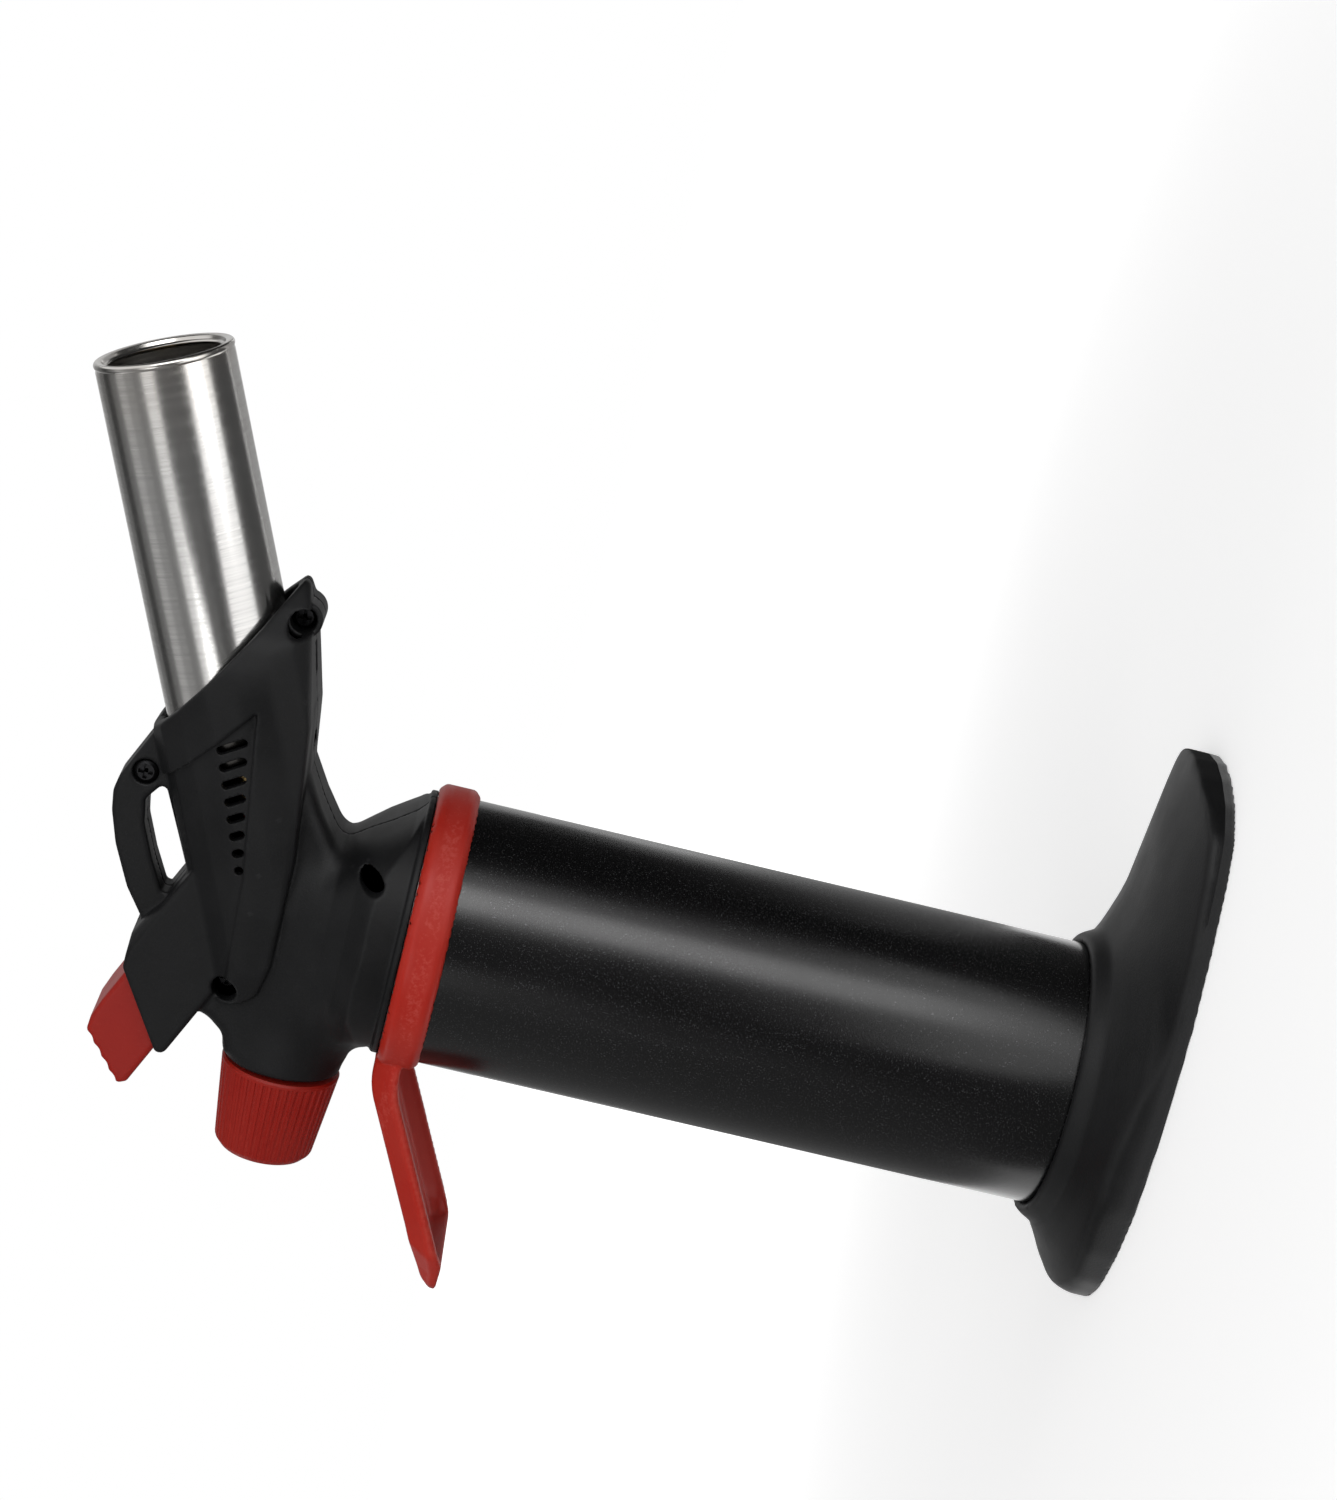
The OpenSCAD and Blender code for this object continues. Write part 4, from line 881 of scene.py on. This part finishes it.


def moulded(name, colour, worn, rough, grain=3200.0, depth=0.00003, specular=0.22, band=None):
    """Spark-grained moulded plastic, with a scuffed band between two heights where one is given."""
    material, tree, shader, place = finish(name, Specular_IOR_Level=specular)
    grained = use(tree, GRAIN, Vector=place, Scale=grain)
    worn_edge = use(tree, WEAR, Vector=place)["Mask"]
    handled = use(tree, HANDLING, Vector=place)["Mask"]
    base = blend_colours(tree, times(tree, handled, 0.35), colour, worn)
    base = blend_colours(tree, times(tree, grained["Fleck"], 0.5), base, worn)
    base = blend_colours(tree, times(tree, worn_edge, 0.55), base, worn)
    gloss = spread(tree, handled, rough - 0.05, rough + 0.07)
    if band:
        low, high = band
        level = level_of(tree, place)
        above_low = ramp(tree, level, low, low + BAND_EDGE)
        on_band = times(tree, above_low, ramp(tree, level, high, high - BAND_EDGE))
        specks, patches = noise(tree, place, 1100.0, 4.0, 0.7), noise(tree, place, 90.0, 2.0)
        scuffed = ramp(tree, plus(tree, specks, times(tree, patches, 0.5)), 0.74, 0.92)
        paler = tuple(min(c * 1.1 + 0.04, 1) for c in worn)
        base = blend_colours(tree, times(tree, on_band, times(tree, scuffed, 0.45)), base, paler)
        gloss = plus(tree, gloss, times(tree, on_band, 0.12))
    feed(tree, shader, {"Base Color": base, "Roughness": gloss})
    bumped(tree, shader, grained["Height"], depth)
    return material


def brushed(name, colour, rough, axis_turn=(0, 0, 0), at=(0, 0, 0), lines=5200.0, tint=None):
    """Metal brushed round an axis; one that is heated has a tint at its far end, and painted shade darkens its
    near end, where the head covers it.
    """
    material, tree, shader, place = finish(name, Metallic=1.0)
    local = node(tree, "ShaderNodeMapping", {"Vector": place, "Location": tuple(-c * MM for c in at)})
    local = node(tree, "ShaderNodeMapping", {"Vector": local.outputs[0], "Rotation": axis_turn}).outputs[0]
    brush = use(tree, BRUSHING, Vector=local, Lines=lines)
    handled = use(tree, HANDLING, Vector=place, Scale=45.0)["Mask"]
    base = blend_colours(tree, brush["Streak"], tuple(c * 0.86 for c in colour), colour)
    if tint:
        heat = ramp(tree, level_of(tree, local), *HEATED)
        base = blend_colours(tree, times(tree, heat, times(tree, handled, 0.5)), base, tint)
        # painted shade: behind the mouth's plane the tube goes near black, as if in the head's shadow, which
        # also darkens it just inside the mouth
        past_mouth = node(tree, "ShaderNodeVectorMath", {0: place, 1: MOUTH_WAY}, operation="DOT_PRODUCT")
        base = blend_colours(tree, ramp(tree, past_mouth.outputs["Value"], *COVERED_SHADE), base, (0.02, 0.019, 0.018))
    rough_now = spread(tree, brush["Streak"], rough + 0.05, rough - 0.04)
    feed(tree, shader, {"Base Color": base, "Roughness": plus(tree, rough_now, times(tree, handled, 0.05))})
    bumped(tree, shader, brush["Height"], 0.000008, 0.6)
    return material


BLACK = (0.0065, 0.0067, 0.0072)
black_plastic = moulded("black_plastic", BLACK, (0.022, 0.022, 0.023), 0.50)
foot_plastic = moulded("foot_plastic", BLACK, (0.020, 0.020, 0.021), 0.48, specular=0.26)
RED_GRAIN = {"grain": 1800.0, "depth": 0.00002}
red_plastic = moulded("red_plastic", (0.34, 0.010, 0.005), (0.42, 0.028, 0.016), 0.42, specular=0.24,
                      **RED_GRAIN)
rest_plastic = moulded("rest_plastic", (0.50, 0.018, 0.008), (0.56, 0.055, 0.035), 0.42, specular=0.28,
                       band=((RING_Z + 1.9) * MM, (RING_Z + 5.6) * MM), **RED_GRAIN)
stem_plastic = moulded("stem_plastic", (0.03, 0.03, 0.032), (0.09, 0.09, 0.09), 0.4, specular=0.4)
seal_rubber = moulded("seal_rubber", (0.012, 0.012, 0.012), (0.03, 0.03, 0.03), 0.7, specular=0.3)
piezo_shell = moulded("piezo_shell", (0.05, 0.08, 0.16), (0.12, 0.16, 0.24), 0.35, specular=0.5)
wire_cover = moulded("wire_cover", (0.30, 0.02, 0.02), (0.4, 0.06, 0.05), 0.45, specular=0.45)
ceramic = moulded("ceramic", (0.78, 0.76, 0.70), (0.62, 0.58, 0.5), 0.35, specular=0.5)
burner_steel = brushed("burner_steel", (0.66, 0.65, 0.635), 0.18, (0, -(math.pi / 2 - BURNER_SLOPE), 0),
                       (BURNER_AT[0], 0, HEAD_Z + BURNER_AT[1]), tint=(0.55, 0.47, 0.38))
screw_steel = brushed("screw_steel", (0.035, 0.035, 0.037), 0.42, (math.pi / 2, 0, 0), lines=3000.0)
brass = brushed("brass", (0.72, 0.50, 0.22), 0.28, (0, math.pi / 2, 0), lines=3000.0)
tank_metal = brushed("tank_metal", (0.62, 0.62, 0.63), 0.4, lines=2000.0)


def sleeve_finish():
    """Satin black lacquer over metal, with a fine metallic fleck."""
    material, tree, shader, place = finish("black_sleeve", Metallic=0.0, Specular_IOR_Level=0.55)
    grained = use(tree, GRAIN, Vector=place, Scale=3600.0, Fleck_cut=0.61)
    handled = use(tree, HANDLING, Vector=place, Scale=30.0)["Mask"]
    base = blend_colours(tree, grained["Fleck"], (0.0015, 0.0015, 0.0018), (0.15, 0.15, 0.155))
    feed(tree, shader, {"Base Color": base, "Metallic": times(tree, grained["Fleck"], 0.9),
                        "Roughness": plus(tree, 0.22, times(tree, handled, 0.05))})
    bumped(tree, shader, grained["Height"], 0.000006)
    return material


black_sleeve = sleeve_finish()


# ---------------------------------------------------------------- the pieces

def sleeve():
    top, low, inner = RING_Z + 1, 6.1, SLEEVE_R - SLEEVE_WALL
    return turned("sleeve", [(SLEEVE_R, low + 0.2), (SLEEVE_R, top), (inner, top), (inner, low)], steps=192)


def flame_tube():
    """The tube with its rolled mouth; start and end lie along its axis, from the point BURNER_AT."""
    r = TUBE_R
    start, end = -10.0, 65.3
    bead = [(r - 0.60 + 0.72 * math.cos(math.radians(a)), end - 0.75 + 0.75 * math.sin(math.radians(a)))
            for a in range(-50, 100, 15)]
    profile = [(r - 0.6, start), (r - 0.02, start), (r - 0.02, end - 1.9), (r - 0.12, end - 1.55), *bead,
               (r - 1.4, end - 0.25), (r - 1.7, end - 0.8), (10.45, end - 0.95), (10.3, end - 1.15),
               (10.45, end - 1.4), (r - 1.5, end - 1.5), (r - 0.75, end - 2.0)]
    at = Vector((BURNER_AT[0], 0, HEAD_Z + BURNER_AT[1])) * MM
    obj = turned("burner_tube", profile, steps=192, centre=at / MM, axis=BURNER_WAY, sharp=35)
    # the rolled sheet's seam, a fine hollow along the tube, low on the near side
    for point in obj.data.vertices:
        out = point.co - at
        out -= BURNER_WAY * out.dot(BURNER_WAY)
        turn = math.degrees(math.atan2(-out.y, -out.dot(BURNER_TOP)))
        if abs(turn - SEAM_TURN) < 1.0 and out.length > (r - 0.1) * MM:
            point.co -= out.normalized() * SEAM_DEPTH * MM
    return obj


def knob():
    """The fluted knob with its bore, turned upright and then laid along its stem."""
    profile = [(0, 17.9), (0, 15.2), (2.55, 15.2), (2.55, 1.5), (4.3, 1.5), (4.3, 12), (7.85, 12), (7.85, 0),
               (10.9, 0), (11.25, 0.4), (9.38, 16.3), (9.2, 16.7), (8.3, 17.7), (7.7, 17.9)]
    obj = turned("grip_knob", profile, steps=176, sharp=25)
    cut(obj, grown("knob_flutes", flute_tree(), Count=44, **{
        "Ring radius": 11.42 * MM, "Groove radius": 0.62 * MM, "Length": 17 * MM, "Taper": math.radians(5.9),
        "Start": 0.9 * MM}))
    laid = Matrix.Rotation(-math.pi / 2, 4, "Y")
    obj.data.transform(Matrix.Translation((KNOB_AT * MM, 0, (HEAD_Z + KNOB_RISE) * MM)) @ laid)
    for face in obj.data.polygons:
        face.use_smooth = True
    crease_by_angle(obj, 28)
    return obj


def screws(name, tree, places, turn, length=6.0):
    """Screws of one kind standing at their places, with shanks of the length given."""
    obj = grown(name, tree, start=places, **{
        "Head radius": 2.2 * MM, "Head height": 1.5 * MM, "Shank radius": 1.4 * MM, "Shank length": length * MM,
        "Turn": turn, "Finish": screw_steel})
    crease_by_angle(obj, 30)
    return obj


sleeve_piece = sleeve()
tube_piece = flame_tube()
knob_piece = knob()
foot_piece = skin("stand_foot", foot_field, (-40.6, -37.6, -0.9), (67.6, 37.6, 16.2), 0.7)
rest_piece = skin("rest_ring", rest_field, (-74.4, -27.8, RING_Z - 20), (27.8, 27.8, RING_Z + 8.6), 0.6)
trigger_piece = skin("thumb_trigger", trigger_field, (-42, -8.4, HEAD_Z + 30), (-14, 8.4, HEAD_Z + 60), 0.35)
right_half = head_half("head_right", -1)
left_half = head_half("head_left", 1)

slot_cutter = grown("slot_cutter", slot_tree(), Count=8, **{
    "Start": Vector((7.7, 0, HEAD_Z + 31.9)) * MM, "Step": Vector((3.41, 0, 0.61)) * MM, "Width": 1.65 * MM,
    "First length": 0.12 * MM, "Growth": 0.60 * MM, "Lean": math.radians(-32.5), "Depth": 44 * MM})
cut(right_half, slot_cutter, keep=True)
cut(left_half, slot_cutter)

cross = screw_tree()
face_near, face_down = Vector((math.pi / 2, 0, 0)), Vector((math.pi, 0, 0))
head_places = [(x, -seat, HEAD_Z + h) for x, h, seat, _ in SCREW_SEATS]
housing_screws = screws("head_screws", cross, head_places[:3], face_near)
bridge_screw = screws("bridge_fixing", cross, head_places[3:], face_near, length=4.4)
foot_places = [(x, y, 3.0) for x, y in foot_screw_places()]
foot_screws = screws("foot_fixings", cross, foot_places, face_down, length=8.4)

for piece, material in ((right_half, black_plastic), (left_half, black_plastic), (foot_piece, foot_plastic),
                        (rest_piece, rest_plastic), (trigger_piece, red_plastic), (knob_piece, red_plastic),
                        (sleeve_piece, black_sleeve), (tube_piece, burner_steel)):
    coat(piece, material)

ON_BODY = [(sleeve_piece, "torch", "tank_sleeve", "black_sleeve"),
           (tube_piece, "torch", "flame_tube", "burner_steel"),
           (knob_piece, "knob", "flow_knob", "red_plastic"),
           (foot_piece, "torch", "foot", "black_plastic"),
           (rest_piece, "torch", "hand_rest", "red_plastic"),
           (trigger_piece, "trigger", "trigger", "red_plastic"),
           (right_half, "torch", "housing_right", "black_plastic"),
           (left_half, "torch", "housing_left", "black_plastic"),
           (housing_screws, "torch", "housing_screws", "screw_steel"),
           (bridge_screw, "torch", "bridge_screw", "screw_steel"),
           (foot_screws, "torch", "foot_screws", "screw_steel")]
for piece, body, stands_for, finish_slot in ON_BODY:
    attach(piece, body)
    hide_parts(stands_for)

# the finish of each solid that keeps its own shape, by its slot
FINISHES = {
    "black_plastic": black_plastic, "black_sleeve": black_sleeve, "red_plastic": red_plastic,
    "burner_steel": burner_steel, "screw_steel": screw_steel, "brass": brass, "tank_metal": tank_metal,
    "seal_rubber": seal_rubber, "piezo_shell": piezo_shell, "wire_cover": wire_cover, "ceramic": ceramic,
    "stem_plastic": stem_plastic}
for part in frame["record"]["subparts"]:
    coat(frame["nodes"][part["node"]], FINISHES[part["material_slot"]])


# ---------------------------------------------------------------- studio

STUDIO_AIM = Vector((0.02, 0, 0.13))  # in metres, as all of the studio is


def towards(azimuth, elevation):
    """The way to a place in the studio, in degrees: 0 is in front of the flame, -90 the right-hand side."""
    a, e = math.radians(azimuth), math.radians(elevation)
    return Vector((math.cos(a) * math.cos(e), math.sin(a) * math.cos(e), math.sin(e)))


def softbox(name, azimuth, elevation, distance, width, height, radiance, lights, shines):
    """A rectangular lamp of an even brightness that lights surfaces, shines in them, or both."""
    light = bpy.data.lights.new(name, "AREA")
    light.shape, light.size, light.size_y = "RECTANGLE", width, height
    light.energy = radiance * math.pi * width * height
    obj = placed(name, light)
    way = towards(azimuth, elevation)
    obj.location, obj.rotation_mode = STUDIO_AIM + way * distance, "QUATERNION"
    obj.rotation_quaternion = way.to_track_quat("Z", "Y")
    obj.visible_diffuse, obj.visible_glossy, obj.visible_camera = lights, shines, False


def shade_card(name, corners, shade):
    """A card of an even grey that only reflections see."""
    obj = flat_card(name, corners)
    obj.visible_camera = obj.visible_diffuse = obj.visible_shadow = obj.visible_transmission = False
    coat(obj, finish(name, Base_Color=(0, 0, 0, 1), Specular_IOR_Level=0.0, Emission_Color=(1, 1, 1, 1),
                     Emission_Strength=shade)[0])


def wall_card(name, first, last, low, high, distance, shade):
    """Stands a card round the torch, from one azimuth to another and between two elevations."""
    middle, reach = (first + last) / 2, distance * math.tan(math.radians((last - first) / 2))
    out, side = towards(middle, 0), towards(middle + 90, 0)
    corners = []
    for k, elevation in ((-1, low), (1, low), (1, high), (-1, high)):
        corner = STUDIO_AIM + out * distance + side * reach * k
        corner.z = max(corner.z + distance * math.tan(math.radians(elevation)), 0.001)
        corners.append(corner)
    shade_card(name, corners, shade)


def floor_card(name, x0, x1, y0, y1, shade):
    """Lays a card just over the floor, from x0 to x1 and from y0 to y1."""
    shade_card(name, [(x0, y0, 0.002), (x1, y0, 0.002), (x1, y1, 0.002), (x0, y1, 0.002)], shade)


# azimuth, elevation, distance, width, height, radiance, whether it lights, whether it shines
softbox("front_fill", -80, 22, 1.5, 1.3, 1.0, 1.9, True, False)
softbox("top_soft", -60, 75, 1.4, 1.0, 1.0, 0.9, True, False)
softbox("key_strip", -40, 2, 1.0, 0.36, 1.1, 3.6, False, True)
softbox("front_strip", -108, 11, 0.9, 0.28, 0.25, 2.6, False, True)
# azimuths from and to, elevations from and to, distance, shade
wall_card("card_left", -182, -118, -20, 46, 1.15, 0.30)
wall_card("card_far_left", -250, -182, -20, 12, 1.1, 0.26)
wall_card("card_front", -118, -58, -20, 18, 1.0, 0.12)
wall_card("card_right", -14, 77, -20, 44, 1.1, 0.03)
floor_card("card_low", -0.12, 0.9, -0.98, -0.31, 0.10)
floor_card("card_under", 0.045, 0.40, -0.05, 0.15, 0.08)
floor_card("card_floor_right", 0.40, 1.3, -0.31, 0.9, 0.03)
floor_card("card_floor_left", -1.3, -0.12, -0.98, 0.9, 0.24)
floor_card("card_behind", -0.12, 0.40, 0.16, 0.9, 0.4)
floor_card("card_near_left", -0.12, 0.028, -0.31, -0.04, 0.15)
# the tall lamp's light carried on over the floor, so that its streak runs down to the foot
shade_card("key_floor", [towards(azimuth, 0) * reach + Vector((0, 0, 0.004))
                         for azimuth, reach in ((-50, 0.2), (-50, 0.9), (-30, 0.9), (-30, 0.2))], 3.2)
# greys in long bands round the flame tube: first and last turn from its near side upwards, shade
TUBE_BANDS = [(34, 50, 0.22), (50, 66, 0.33), (66, 82, 0.5), (82, 98, 0.18), (98, 114, 0.05), (114, 130, 0.18),
              (130, 146, 0.32), (146, 162, 0.6), (162, 190, 0.66)]
BAND_DISTANCE = 0.9
BAND_FROM, BAND_TO = -0.85, 0.45  # along the tube, from the middle of what shows of it
tube_middle = Vector((0.062, 0, 0.192))
for first, last, shade in TUBE_BANDS:
    corners = []
    for turn, along in ((first, BAND_FROM), (last, BAND_FROM), (last, BAND_TO), (first, BAND_TO)):
        near, high = math.cos(math.radians(turn)), math.sin(math.radians(turn))
        out = Vector((0, -near, 0)) + BURNER_TOP * high
        corners.append(tube_middle + out * BAND_DISTANCE + BURNER_WAY * along)
    shade_card("band_%d" % first, corners, shade)


def lay_floor(half=3.0):
    """A sheet of pale paper that grows white away from the torch, and that metal sees as white."""
    floor = flat_card("floor", [(-half, -half, 0), (half, -half, 0), (half, half, 0), (-half, half, 0)])
    paper, tree, shader, place = finish("floor_paper", Roughness=0.9, Specular_IOR_Level=0.0,
                                        Base_Color=(0.82, 0.82, 0.82, 1), Emission_Color=(1, 1, 1, 1))
    away = node(tree, "ShaderNodeVectorMath", {0: place}, operation="LENGTH").outputs[1]
    fade = node(tree, "ShaderNodeMapRange", {0: away, 1: 0.12, 2: 0.7, 3: 0.5, 4: 1.0},
                interpolation_type="SMOOTHSTEP").outputs[0]
    ray = node(tree, "ShaderNodeLightPath").outputs
    seen = plus(tree, times(tree, fade, ray["Is Camera Ray"]), ray["Is Glossy Ray"])
    feed(tree, shader, {"Emission Strength": seen})
    coat(floor, paper)


def hang_sky():
    """A white studio to the camera and in reflections, which gives only a soft light itself."""
    world = bpy.context.scene.world or bpy.data.worlds.new("studio")
    bpy.context.scene.world = world
    world.use_nodes = True
    tree = world.node_tree
    tree.nodes.clear()
    ray = node(tree, "ShaderNodeLightPath").outputs
    mirrored = worked(tree, "MAXIMUM", ray["Is Glossy Ray"], ray["Is Transmission Ray"])
    level = spread(tree, worked(tree, "MAXIMUM", ray["Is Camera Ray"], mirrored), 0.3, 1.0)
    back = node(tree, "ShaderNodeBackground", {"Color": (1, 1, 1, 1), "Strength": level})
    node(tree, "ShaderNodeOutputWorld", {"Surface": back.outputs[0]})


CAMERA_AT = (0.233793, -0.617999, 0.144913)
CAMERA_LOOKS = (107.0511, -3.9562)  # azimuth and elevation of the way it looks
CAMERA_ROLL = -76.6155              # its turn about that way


def set_camera():
    """The camera is rolled most of the way over, so that the torch lies on its side in the frame."""
    lens = bpy.data.cameras.new("camera")
    lens.lens, lens.sensor_width, lens.clip_start, lens.clip_end = 84.85, 36, 0.01, 20
    camera = placed("camera", lens)
    upright = (-towards(*CAMERA_LOOKS)).to_track_quat("Z", "Y").to_matrix().to_4x4()
    roll = Matrix.Rotation(math.radians(CAMERA_ROLL), 4, "Z")
    camera.matrix_world = Matrix.Translation(CAMERA_AT) @ upright @ roll
    bpy.context.scene.camera = camera
    bpy.context.scene.view_settings.view_transform = "Standard"


lay_floor()
hang_sky()
set_camera()
